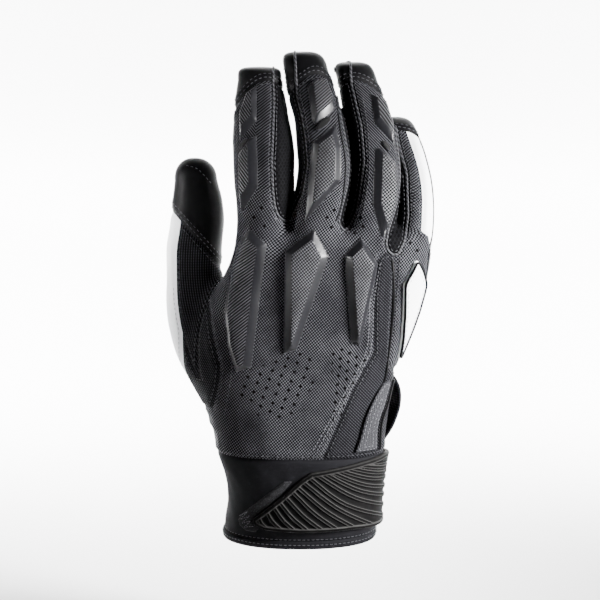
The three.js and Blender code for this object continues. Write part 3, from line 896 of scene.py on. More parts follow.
# For each digit: how far outside it a place is and its turn, how much nearer it is than the others
# and its radius
digitNames = list(digits)
handGap, handTurn = place(forms["hand"], at)
spots = {name: place(forms[name], at) for name in digitNames}
gaps = np.column_stack([spots[name][0] for name in digitNames])
nearest = gaps.argmin(1)
near, radius = {}, {}
for k, name in enumerate(digitNames):
    rows = digits[name]["rows"]
    near[name] = np.delete(gaps, k, 1).min(1) - gaps[:, k]
    radius[name] = (along(rows, "wide", at[:, 2]) + along(rows, "deep", at[:, 2])) / 4


def wrapped(turn):
    # The same turn between -180 and 180 degrees
    return (turn + 180) % 360 - 180


# Cloth coordinates: round the hand and up it, flowing into each digit.
# Lengths round the hand are taken at one height and scaled by its half width there.
clothAt = dict(z=100, half=51.5)
handX, _, handHalf, _ = section(forms["hand"], at[:, 2])
aside = (at[:, 0] - handX) / handHalf
frontShare = smooth(148, 156, at[:, 2]) * smooth(0.92, 0.75, np.abs(aside)) * smooth(10, 4, at[:, 1])
clothTurn = handTurn * (1 - frontShare) + turnSeen(forms["hand"], aside) * frontShare
handU = np.interp(clothTurn, *arcOf(forms["hand"], clothAt["z"])) * handHalf / clothAt["half"] + handX
u, v = handU.copy(), at[:, 2].copy()
onDigit = np.zeros(len(at))
for k, name in enumerate(digitNames):
    rows = digits[name]["rows"]
    zs = np.arange(rows["z"][0], digits[name]["tip"] + 1)
    line = np.column_stack([along(rows, "x", zs), along(rows, "y", zs), zs])
    run = lengthAlong(line) + zs[0]
    mine = nearest == k
    share = smooth(-5, 9, handGap - gaps[:, k])
    share *= 1 - smooth(8, 0, near[name]) * smooth(185, 168, at[:, 2])
    turn = np.radians(spots[name][1] + digits[name]["roll"])
    digitU = rows["x"][2] + turn * radius[name]
    digitV = np.interp(at[:, 2], zs, run)
    root = mine & (share > 0.2) & (share < 0.8) & (np.abs(turn) < 0.8)
    digitU += (handU - digitU)[root].mean()
    digitV += (at[:, 2] - digitV)[root].mean()
    u[mine] = (handU * (1 - share) + digitU * share)[mine]
    v[mine] = (at[:, 2] * (1 - share) + digitV * share)[mine]
    onDigit[mine] = share[mine]
skin.put("u", u)
skin.put("v", v)

# Each panel is where its field is above zero, less the panels before it.
# Heights and depths are in millimetres and turns round the thumb in degrees. A degree is 0.01745 radians.
seamHeight = 45.0
sideEdge = dict(panels=4, back=2)
thumbBack = dict(middle=29, half=66, foot=84)
crotchSpan = dict(wide=7, deep=18, below=10)
capJoin = 7
perDegree = 0.01745
fields = {}
for name, (spot, leans) in capSeams.items():
    planes = [(at - np.array(spot)) @ (np.array(lean) / np.linalg.norm(lean)) for lean in leans]
    over = planes[0] if len(planes) == 1 else -softJoin(-planes[0], -planes[1], capJoin)
    own = np.minimum(near[name] * 2, handGap - spots[name][0]) + 1
    fields["tip_cap_" + name] = np.minimum(over, own)
rolls = np.array([digits[name]["roll"] for name in digitNames])[nearest]
digitTurn = np.choose(nearest, [spots[name][1] for name in digitNames])
digitRadius = np.choose(nearest, [radius[name] for name in digitNames])
rear = (gussetRear - np.abs(wrapped(digitTurn + rolls))) * digitRadius * perDegree
for name, outline in gussets.items():
    one, other = name.split("_")[1:]
    between = crotchSpan["wide"] / 2 - np.abs(spots[one][0] - spots[other][0])
    above = at[:, 2] - np.min(outline, 0)[1] + crotchSpan["below"]
    crotch = np.minimum.reduce([between, crotchSpan["deep"] / 2 - np.abs(at[:, 1]), above])
    fields[name] = np.maximum(np.minimum(toOutline(seenAt, outline), rear), crotch)
across = (thumbBack["half"] - np.abs(spots["thumb"][1] - thumbBack["middle"])) * radius["thumb"] * perDegree
skin.put("thumbU", np.radians(spots["thumb"][1]) * radius["thumb"])
onThumb = np.minimum(handGap - spots["thumb"][0] + 1, near["thumb"] * 2)
fields["thumb_back"] = np.minimum.reduce([across, at[:, 2] - thumbBack["foot"], onThumb])
for name, outline in (("web_panel", webPanel), ("stretch_panel", stretchPanel)):
    fields[name] = np.minimum(toOutline(seenAt, outline), sideEdge["panels"] - at[:, 1])
back = np.full(len(at), -4.0)
for k, name in enumerate(digitNames):
    mine = nearest == k
    if name in backSpans:
        middle, half = backSpans[name]
        strip = (half - np.abs(wrapped(spots[name][1] - middle))) * radius[name] * perDegree
        back[mine] = strip[mine]
fields["back_panel"] = (sideEdge["back"] - at[:, 1]) * (1 - onDigit) + back * onDigit
order = list(fields)
edge = at[:, 2] - seamHeight
free = np.ones(len(at), bool)
for name in order:
    edge = np.where(free, np.minimum(edge, np.abs(fields[name])), edge)
    free &= fields[name] <= 0
for name in order:
    skin.put(name, fields[name])
skin.put("edge", edge)
holes = smooth(-0.5, 0.5, toOutline(seenAt, leftHoles)) - smooth(-0.5, 0.5, toOutline(seenAt, rightHoles))
skin.put("holes", holes * (at[:, 1] < 0))
# Which way the cloth's lines slant. On the index finger the two slants meet at one x.
slants = dict(thumb=0.0, index=1.0, middle=1.0, ring=-1.0, little=1.0)
indexMeet = -24.5
slant = np.array([slants[name] for name in digitNames])[nearest] * onDigit * smooth(168, 190, at[:, 2])
slant = np.where((nearest == digitNames.index("index")) & (at[:, 0] < indexMeet), -slant, slant)
slant -= 0.75 * smooth(4, 16, at[:, 0]) * smooth(112, 96, at[:, 2]) * (1 - onDigit)
skin.put("slant", slant)

# Seams sink, the cloth beside them puffs, and the whole skin is a little uneven
seamShape = dict(sink=0.55, width=1.0, puff=0.3, puffAt=3.2, puffWidth=1.7, ripple=0.28, rippleLong=24)
push = -seamShape["sink"] * np.exp(-((edge / seamShape["width"]) ** 2))
push += seamShape["puff"] * np.exp(-(((edge - seamShape["puffAt"]) / seamShape["puffWidth"]) ** 2))
push += seamShape["ripple"] * waves(at, seamShape["rippleLong"], 3) * smooth(0, 6, edge)
skin.data[:, :3] += skin["normal"] * push[:, None]
skin.data[:, 3:6] = normalsOf(skin["at"], skin.tris)

# Slot, look and thickness by the start of a panel's name
panelLooks = {
    "gusset": ("mesh", "mesh", 1.3), "tip_cap": ("leather", "leather", 1.4),
    "thumb_back": ("mesh", "ribbed", 1.4), "web_panel": ("mesh", "ribbed", 1.4),
    "stretch_panel": ("mesh", "ribbed", 1.4), "back_panel": ("textile", "textile", 1.6),
    "palm_panel": ("grip_leather", "white", 1.6),
}
ribSlope = dict(web=0.6, diagonal=0.707)
print("panels")
panels, rest = {}, skin
for name in order:
    panels[name] = keep(rest, rest[name])
    rest = keep(rest, -rest[name])
panels["palm_panel"] = rest
for name, panel in panels.items():
    slot, look, thick = next(v for k, v in panelLooks.items() if name.startswith(k))
    if name == "thumb_back":
        panel.put("u", panel["thumbU"])
    if name == "web_panel":
        panel.put("u", panel["at"][:, 0] + panel["at"][:, 2] * ribSlope["web"])
        panel.put("v", panel["at"][:, 2])
    if name == "stretch_panel":
        across, up = panel["u"].copy(), panel["v"].copy()
        panel.put("u", (across + up) * ribSlope["diagonal"])
        panel.put("v", (up - across) * ribSlope["diagonal"])
    makeSheet(name, panel, thick, look, name, ["weave", "holes", "slant"])
    print("  ", name, len(panel.tris))

tree = BVHTree.FromPolygons(skin["at"].tolist(), skin.tris.tolist(), all_triangles=True)


def facing(turn):
    # Across, into and up the picture that is seen from turn degrees to the right of the front
    c, s = math.cos(math.radians(turn)), math.sin(math.radians(turn))
    return np.array([[c, s, 0.0], [-s, c, 0.0], [0.0, 0.0, 1.0]])


def onSkin(points, turn=0, away=150):
    # Where places seen in a picture lie on the skin, and the skin's normals there
    aside, into, _ = facing(turn)
    found, normals = [], []
    for x, z in points:
        middle = Vector(aside * x) + Vector((0, 0, z))
        spot, normal, _, _ = tree.ray_cast(middle - Vector(into) * away, Vector(into))
        if spot is None:
            spot, normal, _, _ = tree.find_nearest(middle)
        found.append(spot[:])
        normals.append(normal[:])
    return np.array(found), np.array(normals)


def flatGrid(outline, step):
    # A sheet in the picture's plane, a little larger than an outline
    low, high = np.min(outline, 0) - step, np.max(outline, 0) + step
    nx, nz = (np.ceil((high - low) / step).astype(int) + 1).tolist()
    i, j = np.meshgrid(np.arange(nx), np.arange(nz), indexing="ij")
    at = np.column_stack([low[0] + i.ravel() * step, np.zeros(nx * nz), low[1] + j.ravel() * step])
    i, j = np.meshgrid(np.arange(nx - 1), np.arange(nz - 1), indexing="ij")
    a = (i * nz + j).ravel()
    b, c, d = a + nz, a + nz + 1, a + 1
    even = ((i + j) % 2 == 0).ravel()
    first = np.where(even[:, None], np.column_stack([a, b, c]), np.column_stack([a, b, d]))
    second = np.where(even[:, None], np.column_stack([a, c, d]), np.column_stack([b, c, d]))
    data = np.column_stack([at, np.tile([0.0, -1.0, 0.0], (len(at), 1))])
    return Shell(data, np.concatenate([first, second]), {})


def cutSheet(outline, step):
    # A flat sheet cut along an outline, with the distance to its border as rim
    sheet = flatGrid(outline, step)
    sheet.put("rim", toOutline(sheet["flat"], outline))
    return keep(sheet, sheet["rim"])


def facets(points, outline):
    # Inside an outline that bends one way: the distance to its border, and how far up the bevel,
    # 0 at the border and 1 at the bevel's top
    rows = np.array(outline, float)
    rim, facet = np.full(len(points), 1e9), np.full(len(points), 1e9)
    for a, b in zip(rows, np.roll(rows, -1, axis=0)):
        way = (b - a)[:2] / np.linalg.norm((b - a)[:2])
        d = (points - a[:2]) @ np.array([way[1], -way[0]])
        rim = np.minimum(rim, d)
        facet = np.minimum(facet, d / a[2])
    return rim, facet


def layPad(name, outline, shape, look):
    # A raised piece over the skin, bevelled along its outline
    axes = facing(shape.get("turn", 0))
    pad = flatGrid([row[:2] for row in outline], shape["step"])
    if "bevel" in shape:
        rim = toOutline(pad["flat"], outline)
        facet = rim / shape["bevel"]
    else:
        rim, facet = facets(pad["flat"], outline)
    pad.put("rim", rim)
    pad.put("facet", facet)
    pad = keep(pad, pad["rim"])
    pad = crease(pad, pad["facet"] - 1)
    spot, _ = onSkin(pad["flat"], shape.get("turn", 0))
    pad.data[:, 1] = relax(pad.tris, spot @ axes[1], shape.get("smooth", 12))
    normal = normalsOf(pad["at"], pad.tris)
    for k in range(3):
        normal[:, k] = relax(pad.tris, normal[:, k], 6)
    pad.data[:, 3:6] = normal / np.linalg.norm(normal, axis=1, keepdims=True)
    up = np.minimum(pad["facet"], 1)
    lift = shape["height"] * up + shape["crown"] * (1 - np.exp(-np.maximum(pad["facet"] - 1, 0)))
    flat = pad["flat"] - pad["flat"].mean(0)
    long = np.linalg.svd(flat, full_matrices=False)[2][0]
    lift += shape.get("tilt", 0) * (flat @ [abs(long[1]), -long[0] * np.sign(long[1])]) * up
    pad.put("u", pad["at"][:, 0])
    pad.put("v", pad["at"][:, 2])
    pad.put("slant", np.full(len(pad.data), float(shape.get("slant", 0))))
    pad.data[:, :3] += pad["normal"] * (lift + shape.get("above", 0))[:, None]
    pad.data[:, :3] = pad["at"] @ axes
    pad.data[:, 3:6] = pad["normal"] @ axes
    values = ["weave", "facet", "slant"]
    piece = makeSheet(name, pad, lift + padSunk, look, shape.get("node", name), values, padSharp)
    return piece, pad


# Pads: height of the bevel, crown above it, grid step and how often the ground under it is smoothed.
# A row of an outline is a place and the width of the next side's bevel.
print("pads")
padSunk, padSharp = 0.5, 62
handPad = dict(height=2.9, crown=0.7, step=0.7)
fingerPad = dict(height=2.3, crown=0.5, step=0.6, smooth=8)
pads = {
    "hand_pad_index": (dict(handPad, slant=1, tilt=0.05, height=2.1), [
        (-27.4, 159.5, 4.2), (-19.1, 151.9, 4.2), (-26.6, 91.5, 2.6), (-34.5, 88.6, 2.2),
        (-38.4, 100.9, 2.0), (-40.2, 117.8, 2.0), (-37.6, 138, 2.0), (-32.5, 153, 2.0),
    ]),
    "hand_pad_middle": (dict(handPad, tilt=-0.12), [
        (3.8, 159.8, 3.6), (11.1, 146.4, 3.6), (-4.5, 100.3, 3.0), (-11.3, 98.3, 3.9), (-10.3, 148.5, 4.2),
    ]),
    "hand_pad_ring": (dict(handPad, tilt=-0.12), [
        (26.9, 155.0, 1.9), (35.1, 142.4, 2.1), (26.5, 101.9, 2.6), (21.5, 104.1, 4.0), (18.5, 146.8, 3.8),
    ]),
    "index_pad_far": (dict(fingerPad, slant=-1), [
        (-29.6, 223.5, 1.3), (-24.3, 227.5, 2.3), (-24.0, 210.5, 3.2), (-32.6, 200.8, 1.3), (-33, 214.5, 1.3),
    ]),
    "index_pad_near": (dict(fingerPad, slant=-1), [
        (-28, 202.5, 1.3), (-24.0, 203.8, 4.2), (-23.0, 179.9, 4.2), (-31.8, 165.0, 1.6), (-33, 177.0, 1.3),
        (-33.2, 194.5, 1.3),
    ]),
    "middle_pad_far": (dict(fingerPad, slant=1), [
        (0.5, 227.2, 1.0), (3.9, 230.1, 1.0), (9.9, 230.8, 1.2), (13.8, 221.2, 1.3), (14.3, 216.1, 3.4),
        (4.8, 208.4, 1.6), (2.8, 210.5, 3.0),
    ]),
    "middle_pad_near": (dict(fingerPad, slant=0), [
        (2.9, 200.8, 3.0), (14.7, 209.2, 3.3), (17.2, 197.1, 3.6), (17.0, 182.6, 2.6), (-1.0, 162.1, 3.7),
    ]),
    "ring_pad_far": (dict(fingerPad, slant=-1), [
        (31.5, 223.5, 1.2), (37.5, 221, 1.2), (41.5, 213, 1.2), (43.4, 204.5, 1.2), (43.4, 198, 3.2),
        (33.3, 209, 2.6),
    ]),
    "ring_pad_near": (dict(fingerPad, slant=0), [
        (33.2, 197.2, 1.4), (36.2, 198, 1.6), (44.2, 190.5, 1.8), (45.4, 178.5, 1.8), (43.8, 168.6, 1.8),
        (38.6, 154.4, 1.4), (36.4, 154.2, 4.0), (32.2, 171, 4.0),
    ]),
}
padShells, padFill = [], 0.9
for name, (shape, outline) in pads.items():
    piece, pad = layPad(name, outline, shape, "pad")
    padShells.append(pad)

# The white side pad is drawn as seen from 55 degrees to the right
sidePad = dict(height=1.0, crown=0.4, step=0.7, turn=55)
sideOutline = [(x, z, 0.5) for x, z in (
    (18.2, 143), (20, 143), (26.4, 130.5), (25, 116.5), (21.9, 99), (20.1, 92.5), (18.2, 94),
    (14.2, 109.8), (12.3, 132.1),
)]
piece, sideShell = layPad("side_pad", sideOutline, sidePad, "white")
tab = dict(height=1.7, crown=0.3, step=0.6, bevel=0.5)
tabOutline = [
    *rounded([(23.6, 47.8), (26.3, 55.6), (29, 65.6), (32.8, 74.2), (37.6, 81.8)], 4),
    *rounded([(42, 82.4), (38.7, 70.3), (35.6, 60.4), (35, 47.8)], 4),
]
piece, tabShell = layPad("pull_tab", tabOutline, tab, "webbing")

# Short dark slots, their dark painted shade, in the gaps between the finger pads: middle, direction, half
# length and half width
slots = {
    "index_slot": ((-30.3, 199.9), (1.0, 1.25), 3.3, 1.4),
    "middle_slot": ((8.6, 209.4), (1.0, 0.78), 4.8, 1.8),
    "ring_slot": ((39.5, 198.2), (1.0, -1.25), 3.1, 1.4),
}
slotShape = dict(height=0.7, crown=0.0, step=0.35, smooth=6, node=None, above=0.8)
slotBevel = 0.5
for name, (middle, way, half, side) in slots.items():
    way = np.array(way) / np.hypot(*way)
    off = np.array([-way[1], way[0]])
    turns = np.radians(np.arange(0, -360, -40))
    ring = [np.array(middle) + way * math.cos(t) * half + off * math.sin(t) * side for t in turns]
    layPad(name, [(*spot, slotBevel) for spot in ring], slotShape, "eyelet")


def frames(path):
    # The direction of travel along a path of places
    ahead = np.gradient(path, axis=0)
    return ahead / (np.linalg.norm(ahead, axis=1, keepdims=True) + 1e-9)


def sweep(path, across, outward, profile, closed=False):
    # A profile of [across, outward] offsets carried along a path
    profile = np.array(profile, float)
    rings = path[:, None] + profile[None, :, :1] * across[:, None] + profile[None, :, 1:] * outward[:, None]
    n, m = len(path), len(profile)
    at = rings.reshape(-1, 3)
    i, j = np.meshgrid(np.arange(n if closed else n - 1), np.arange(m), indexing="ij")
    a, b = (i * m + j).ravel(), (i * m + (j + 1) % m).ravel()
    c, d = ((i + 1) % n * m + (j + 1) % m).ravel(), ((i + 1) % n * m + j).ravel()
    faces = np.concatenate([np.column_stack([a, b, c]), np.column_stack([a, c, d])])
    if not closed:
        lid = [[0, k + 1, k] for k in range(1, m - 1)]
        end = [[(n - 1) * m, (n - 1) * m + k, (n - 1) * m + k + 1] for k in range(1, m - 1)]
        faces = np.concatenate([faces, lid, end])
    return at, faces


# Stitches are laid along runs of places with normals, and joined into one piece per thread
stitches = {"dark": [], "pale": [], "white": []}


def resample(run, far, lengths):
    # A run's values at lengths along it
    return np.column_stack([np.interp(lengths, far, column) for column in run.T])


def sew(runs, color="dark", pitch=2.5, length=1.6, radius=0.24, lift=0.08):
    # A row of stitches along each run. Where the run turns back on itself a stitch is left out.
    for run in runs:
        far = lengthAlong(run[:, :3])
        if far[-1] < pitch * 2:
            continue
        middles = np.arange(pitch / 2, far[-1], pitch)
        spot = resample(run, far, middles)
        way = resample(run[:, :3], far, middles + 0.5) - resample(run[:, :3], far, middles - 0.5)
        good = np.linalg.norm(way, axis=1) > 0.3
        spot, way = spot[good], way[good]
        way /= np.linalg.norm(way, axis=1, keepdims=True)
        normal = spot[:, 3:] / np.linalg.norm(spot[:, 3:], axis=1, keepdims=True)
        side = np.cross(way, normal)
        middle = spot[:, :3] + normal * lift
        stitches[color] += list(zip(middle, way * length / 2, side * radius, normal * radius))


def makeStitches(name, items, material):
    # One stitch is three rings of five between two points, and its ends dip into the cloth
    around = np.radians(np.arange(0, 360, 72))
    stations, dip = [(-0.8, 0.75), (0, 1.0), (0.8, 0.75)], 0.9
    rings = [(t, r * math.cos(w), r * math.sin(w) - dip * abs(t) ** 3) for t, r in stations for w in around]
    unit = np.array([(-1, 0, -dip), *rings, (1, 0, -dip)])
    m = len(around)
    faces = [[0, 1 + (k + 1) % m, 1 + k] for k in range(m)]
    for ring in range(2):
        for k in range(m):
            a, b = 1 + ring * m + k, 1 + ring * m + (k + 1) % m
            faces += [[a, b, b + m], [a, b + m, a + m]]
    last = 1 + 3 * m
    faces += [[last, last - m + k, last - m + (k + 1) % m] for k in range(m)]
    faces = np.array(faces)
    base = np.array([i[0] for i in items])
    axes = np.array([i[1:] for i in items])
    at = base[:, None] + np.einsum("kp,nkc->npc", unit.T, axes)
    count = len(unit)
    tris = faces[None] + (np.arange(len(items)) * count)[:, None, None]
    print("  ", name, len(items), "stitches")
    return makeObject(name, at.reshape(-1, 3), tris.reshape(-1, 3), material, sharp=0)


# How far inside its border a piece's rows of stitches run
rowInsets = dict(tip_cap=(1.6, 3.4), gusset=(1.5,), panel=(1.7,), pad=0.35, side=2.2, tab=(1.2, 2.9))
palmRowsTop = 128
print("seams")
for name, panel in panels.items():
    kind = next((kind for kind in ("tip_cap", "gusset") if name.startswith(kind)), "panel")
    if name == "palm_panel":
        panel = keep(panel, palmRowsTop - panel["at"][:, 2])
    for inset in rowInsets[kind]:
        sew(isoLines(panel, panel["edge"] - inset), "white" if name == "palm_panel" else "dark")
for pad in padShells:
    sew(isoLines(pad, pad["rim"] - rowInsets["pad"]), pitch=1.6, length=1.1, radius=0.2)
sew(isoLines(sideShell, sideShell["rim"] - rowInsets["side"]), "white")
for inset in rowInsets["tab"]:
    sew(isoLines(tabShell, tabShell["rim"] - inset), "pale", pitch=2.0, length=1.3)


def seamLine(points, above=0.0):
    # A drawn line, seen from the front, laid on the skin
    spot, normal = onSkin(rounded(points, 10))
    return np.column_stack([spot + normal * above, normal])


drawnSeams = [
    [(-60.5, 187), (-54, 185), (-47.6, 178.2)],
    [(-34.2, 216), (-35, 200), (-34.5, 185), (-33.6, 174)],
    [(-41, 119), (-38.5, 104), (-36.5, 92), (-38, 80), (-40.5, 66)],
    [(28, 222), (30.5, 205), (31, 186), (27.5, 165)],
    [(-15.5, 226), (-14.5, 205), (-16, 180), (-15, 164)],
]
sew([seamLine(line) for line in drawnSeams])
for shift in (0, 2.0):
    line = [(36.2, 143), (33.2, 124), (31.4, 99), (20.5, 77.5), (5.5, 50)]
    sew([seamLine([(x - shift, z) for x, z in line])], "pale", pitch=1.9, length=1.3, radius=0.28)


def tubes(name, runs, radius, material, step=0.8, shortest=6):
    # Round cords laid along runs of places with normals, joined into one piece
    allAt, allTris, count = [], [], 0
    for run in runs:
        far = lengthAlong(run[:, :3])
        if far[-1] < shortest:
            continue
        line = resample(run, far, np.linspace(0, far[-1], int(far[-1] / step) + 2))
        for _ in range(3):
            line[1:-1] = (line[:-2] + line[1:-1] * 2 + line[2:]) / 4
        out = line[:, 3:] / np.linalg.norm(line[:, 3:], axis=1, keepdims=True)
        side = np.cross(frames(line[:, :3]), out)
        circle = [(radius * math.cos(t), radius * math.sin(t)) for t in np.radians(np.arange(0, 360, 60))]
        tubeAt, tubeTris = sweep(line[:, :3], side, out, circle)
        allAt.append(tubeAt)
        allTris.append(tubeTris + count)
        count += len(tubeAt)
    return makeObject(name, np.concatenate(allAt), np.concatenate(allTris), material)


weltRadius = 0.7
welts = [run for name in gussets for run in isoLines(skin, skin[name])]
tubes("seam_welts", welts, weltRadius, looks["welt"])

# Piping beside the tab, the stretch strip, the little and the middle finger: its radius, its height
# above the skin and its line
pipings = {
    "tab_piping": (0.6, 1.2, [(42.8, 82.6), (39.8, 70.3), (36.7, 60.4), (36.1, 48)]),
    "stretch_piping": (0.75, 0, [(42.2, 144), (43, 128), (42.4, 114), (40.6, 95), (39.2, 84), (36.4, 76)]),
    "little_piping": (0.5, 0, [
        (56, 202), (59.4, 193), (62.2, 181), (63.2, 170), (63, 161), (62, 153), (60.6, 146), (60, 139),
        (59.6, 133),
    ]),
    "middle_piping": (0.5, 0, [(14.6, 222), (16.6, 207), (19.2, 190), (17.4, 172), (14.5, 163)]),
}
for name, (thick, above, points) in pipings.items():
    tubes(name, [seamLine(points, above)], thick, looks["leather"])

# Piping round the white side pad
sidePiping = dict(inside=0.4, above=0.55, radius=0.7)
rims = isoLines(sideShell, sideShell["rim"] - sidePiping["inside"])
rims = [np.column_stack([run[:, :3] + run[:, 3:] * sidePiping["above"], run[:, 3:]]) for run in rims]
tubes("side_piping", rims, sidePiping["radius"], looks["leather"])

# The cuff, its bound edge, the strap and its hook tape
print("cuff")
cuffForm = forms["cuff"]
cuffShape = dict(thick=2.7, foot=4, ripple=0.45, rippleLong=30, sink=0.7, groove=0.4, around=230, middle=24)
cuffTurns, cuffArc = arcOf(cuffForm, cuffShape["middle"])
cuffRound = cuffArc[-1] - cuffArc[0]
cuffU = cuffArc[0] + cuffRound * np.arange(cuffShape["around"]) / cuffShape["around"]


def onCuff(u, z, lift):
    # A place on the cuff: u is the length round it from the middle of its front
    turn = np.radians(np.interp((u - cuffArc[0]) % cuffRound + cuffArc[0], cuffArc, cuffTurns))
    x, y, a, b = section(cuffForm, np.clip(z, 0, seamHeight))
    r, n = roundness(cuffForm, turn), cuffForm["square"]
    flat, half = np.column_stack([a * r * np.sin(turn), -b * r * np.cos(turn)]), np.column_stack([a, b])
    out = np.sign(flat) * np.abs(flat / half) ** (n - 1) / half
    out = np.column_stack([out / np.linalg.norm(out, axis=1, keepdims=True), np.zeros(len(a))])
    spot = np.column_stack([x + flat[:, 0], y + flat[:, 1], z])
    return spot + out * np.broadcast_to(lift, len(a))[:, None], out


def fromFront(x, z):
    # How far round the cuff a place is that is seen from the front
    middle, _, half, _ = section(cuffForm, np.array([float(z)]))
    share = (x - middle[0]) / half[0]
    turn = turnSeen(cuffForm, min(share, 1))
    return float(np.interp(turn, cuffTurns, cuffArc)) + max(share - 1, 0) * half[0]


def cuffLift(u, z):
    # The cuff's slow unevenness, with a groove at its seam and one at its bound edge
    angle = u / cuffRound * math.tau
    around = np.column_stack([40 * np.cos(angle), 40 * np.sin(angle), z])
    ripple = waves(around, cuffShape["rippleLong"], 9) * smooth(2, 10, z) * smooth(seamHeight, 38, z)
    lift = cuffShape["ripple"] * ripple - cuffShape["sink"] * np.exp(-(((z - seamHeight) / 1.2) ** 2))
    return lift - cuffShape["groove"] * np.exp(-(((z - cuffShape["foot"]) / 0.9) ** 2))


heights = np.concatenate([np.arange(cuffShape["foot"], 44.2, 1.0), [44.5, seamHeight]])
u, z = (g.ravel() for g in np.meshgrid(cuffU, heights, indexing="ij"))
spot, out = onCuff(u, z, cuffLift(u, z))
count, levels = len(cuffU), len(heights)
i, j = np.meshgrid(np.arange(count), np.arange(levels - 1), indexing="ij")
a, b = (i * levels + j).ravel(), ((i + 1) % count * levels + j).ravel()
tris = np.concatenate([np.column_stack([a, b, b + 1]), np.column_stack([a, b + 1, a + 1])])
cuff = Shell(np.column_stack([spot, out]), tris, {})
cuff.put("u", u)
cuff.put("v", z)
makeSheet("cuff", cuff, cuffShape["thick"], "neoprene", "cuff", ["weave"])

# The bound edge's profile: out from the cuff's face and up from the floor
hemProfile = [
    (0.0, 4.2), (0.65, 3.6), (0.8, 2.4), (0.7, 1.0), (0.2, 0.25), (-0.8, 0.0), (-1.9, 0.1), (-2.8, 0.6),
    (-3.1, 1.8), (-3.1, 3.4), (-2.6, 4.1), (-1.3, 4.3),
]
# Heights at which its base line and its direction are taken from the cuff
hemRows = dict(face=2.0, normal=4.0)
_, out = onCuff(cuffU, np.full(count, hemRows["normal"]), 0.0)
base, _ = onCuff(cuffU, np.full(count, hemRows["face"]), 0.0)
base[:, 2] = 0
hemAt, hemTris = sweep(base, out, np.tile([0.0, 0.0, 1.0], (count, 1)), hemProfile[::-1], closed=True)
hemWeave = np.column_stack([np.repeat(cuffU, len(hemProfile)), hemAt[:, 2], hemAt[:, 0] * 0])
makeObject("cuff_hem", hemAt, hemTris, looks["neoprene"], "cuff_hem", {"weave": hemWeave})
for height, lift in ((5.2, 0.1), (2.6, 0.85)):
    spot, out = onCuff(np.append(cuffU, cuffU[0] + cuffRound), np.full(count + 1, height), lift)
    sew([np.column_stack([spot, out])], "dark", pitch=2.3, radius=0.2)

print("strap")
strapShape = dict(
    base=1.5, rim=0.8, rimWidth=2.0, rib=0.6, ribWidth=1.0, ribFar=9.0, bow=(0.4, 0.8),
    step=0.5, above=0.35, sharp=50,
)
# Its outline: the seen part from the front, the rest as lengths round the cuff
strapFront = [
    (38, 44.6), (28, 43.2), (15, 41.0), (2.4, 39.0), (-3.0, 35.4), (-12, 27), (-25.4, 15.2), (-25.8, 13.4),
    (-24.4, 11.6), (-20.3, 9.9), (-3.0, 9.1), (22.3, 9.4), (36, 7.6),
]
strapRear = [(82, 6.5), (104, 9), (106, 11), (106, 34), (104, 36), (82, 41.5)]
strapOutline = [(fromFront(x, z), z) for x, z in strapFront] + strapRear
# The ribs' upper and lower ends as seen from the front, going on round the cuff past its edge
ribTops = [
    (-22.8, 17.0), (-19.4, 20.3), (-16.1, 22.9), (-13.3, 25.2), (-10.4, 27.8), (-7.5, 30.7), (-4.8, 32.8),
    (-2.1, 35.2), (1.0, 37.3), (4.5, 38.6), (8.4, 39.2), (11.6, 39.7), (15.7, 40.3), (20.2, 41.2),
    (24.5, 41.9), (29.0, 42.3), (31.8, 42.9),
]
ribEnds = [
    (-18.8, 11.2), (-12.2, 11.0), (-6.0, 10.9), (0.4, 10.9), (7.4, 10.9), (14.4, 11.0), (23.0, 10.6),
    (31.7, 9.8), (38.4, 9.6), (45.0, 13.5), (46.0, 19), (47.0, 24), (48.0, 29), (49.0, 32.5),
    (50.0, 35.5), (50.0, 38.5), (50, 40.5),
]
strap = cutSheet(strapOutline, strapShape["step"] * (1))
flat = strap["flat"]
ribDistance = np.full(len(flat), strapShape["ribFar"])
for (topX, topZ), (endX, endZ) in zip(ribTops, ribEnds):
    bow = ((topX + endX) / 2 - strapShape["bow"][0], (topZ + endZ) / 2 - strapShape["bow"][1])
    line = rounded([(fromFront(x, z), z) for x, z in ((topX, topZ), bow, (endX, endZ))])
    ribDistance = np.minimum(ribDistance, toLine(flat, line))
strap.put("ribDistance", ribDistance)
rib = smooth(strapShape["ribWidth"] + 0.3, strapShape["ribWidth"] - 0.2, ribDistance)
rim = smooth(strapShape["rimWidth"] + 0.35, strapShape["rimWidth"] - 0.35, strap["rim"])
lift = strapShape["base"] * np.minimum(strap["rim"] / 0.5 + 0.35, 1)
lift += np.maximum(rib * strapShape["rib"], rim * strapShape["rim"]) * smooth(0, 0.6, strap["rim"])
spot, out = onCuff(flat[:, 0], flat[:, 1], strapShape["above"] + lift)
strap.data[:, :6] = np.column_stack([spot, out])
values = ["ribDistance", "rim"]
makeSheet("wrist_strap", strap, lift, "rubber", "wrist_strap", values, strapShape["sharp"])

# The hook tape shows past the strap's point. Its hooks stand unevenly high.
hookShape = dict(thick=1.0, step=0.7, above=0.3, even=0.75)
hookOutline = [
    (-6.5, 34.6), (-10.9, 34.4), (-21.9, 25.4), (-30.5, 17.6), (-33.5, 13), (-33, 10.2), (-29.9, 8),
    (-24.9, 8), (-23, 10.5), (-26.5, 13.5), (-25.6, 16), (-12, 28),
]
hook = cutSheet([(fromFront(x, z), z) for x, z in hookOutline], hookShape["step"])
flat = hook["flat"]
uneven = hookShape["even"] + (1 - hookShape["even"]) * rng.random(len(flat))
fuzz = hookShape["thick"] * smooth(0, 0.8, hook["rim"]) * uneven
spot, out = onCuff(flat[:, 0], flat[:, 1], hookShape["above"] + fuzz)
hook.data[:, :6] = np.column_stack([spot, out])
makeSheet("strap_hook", hook, fuzz, "hook", "strap_hook")
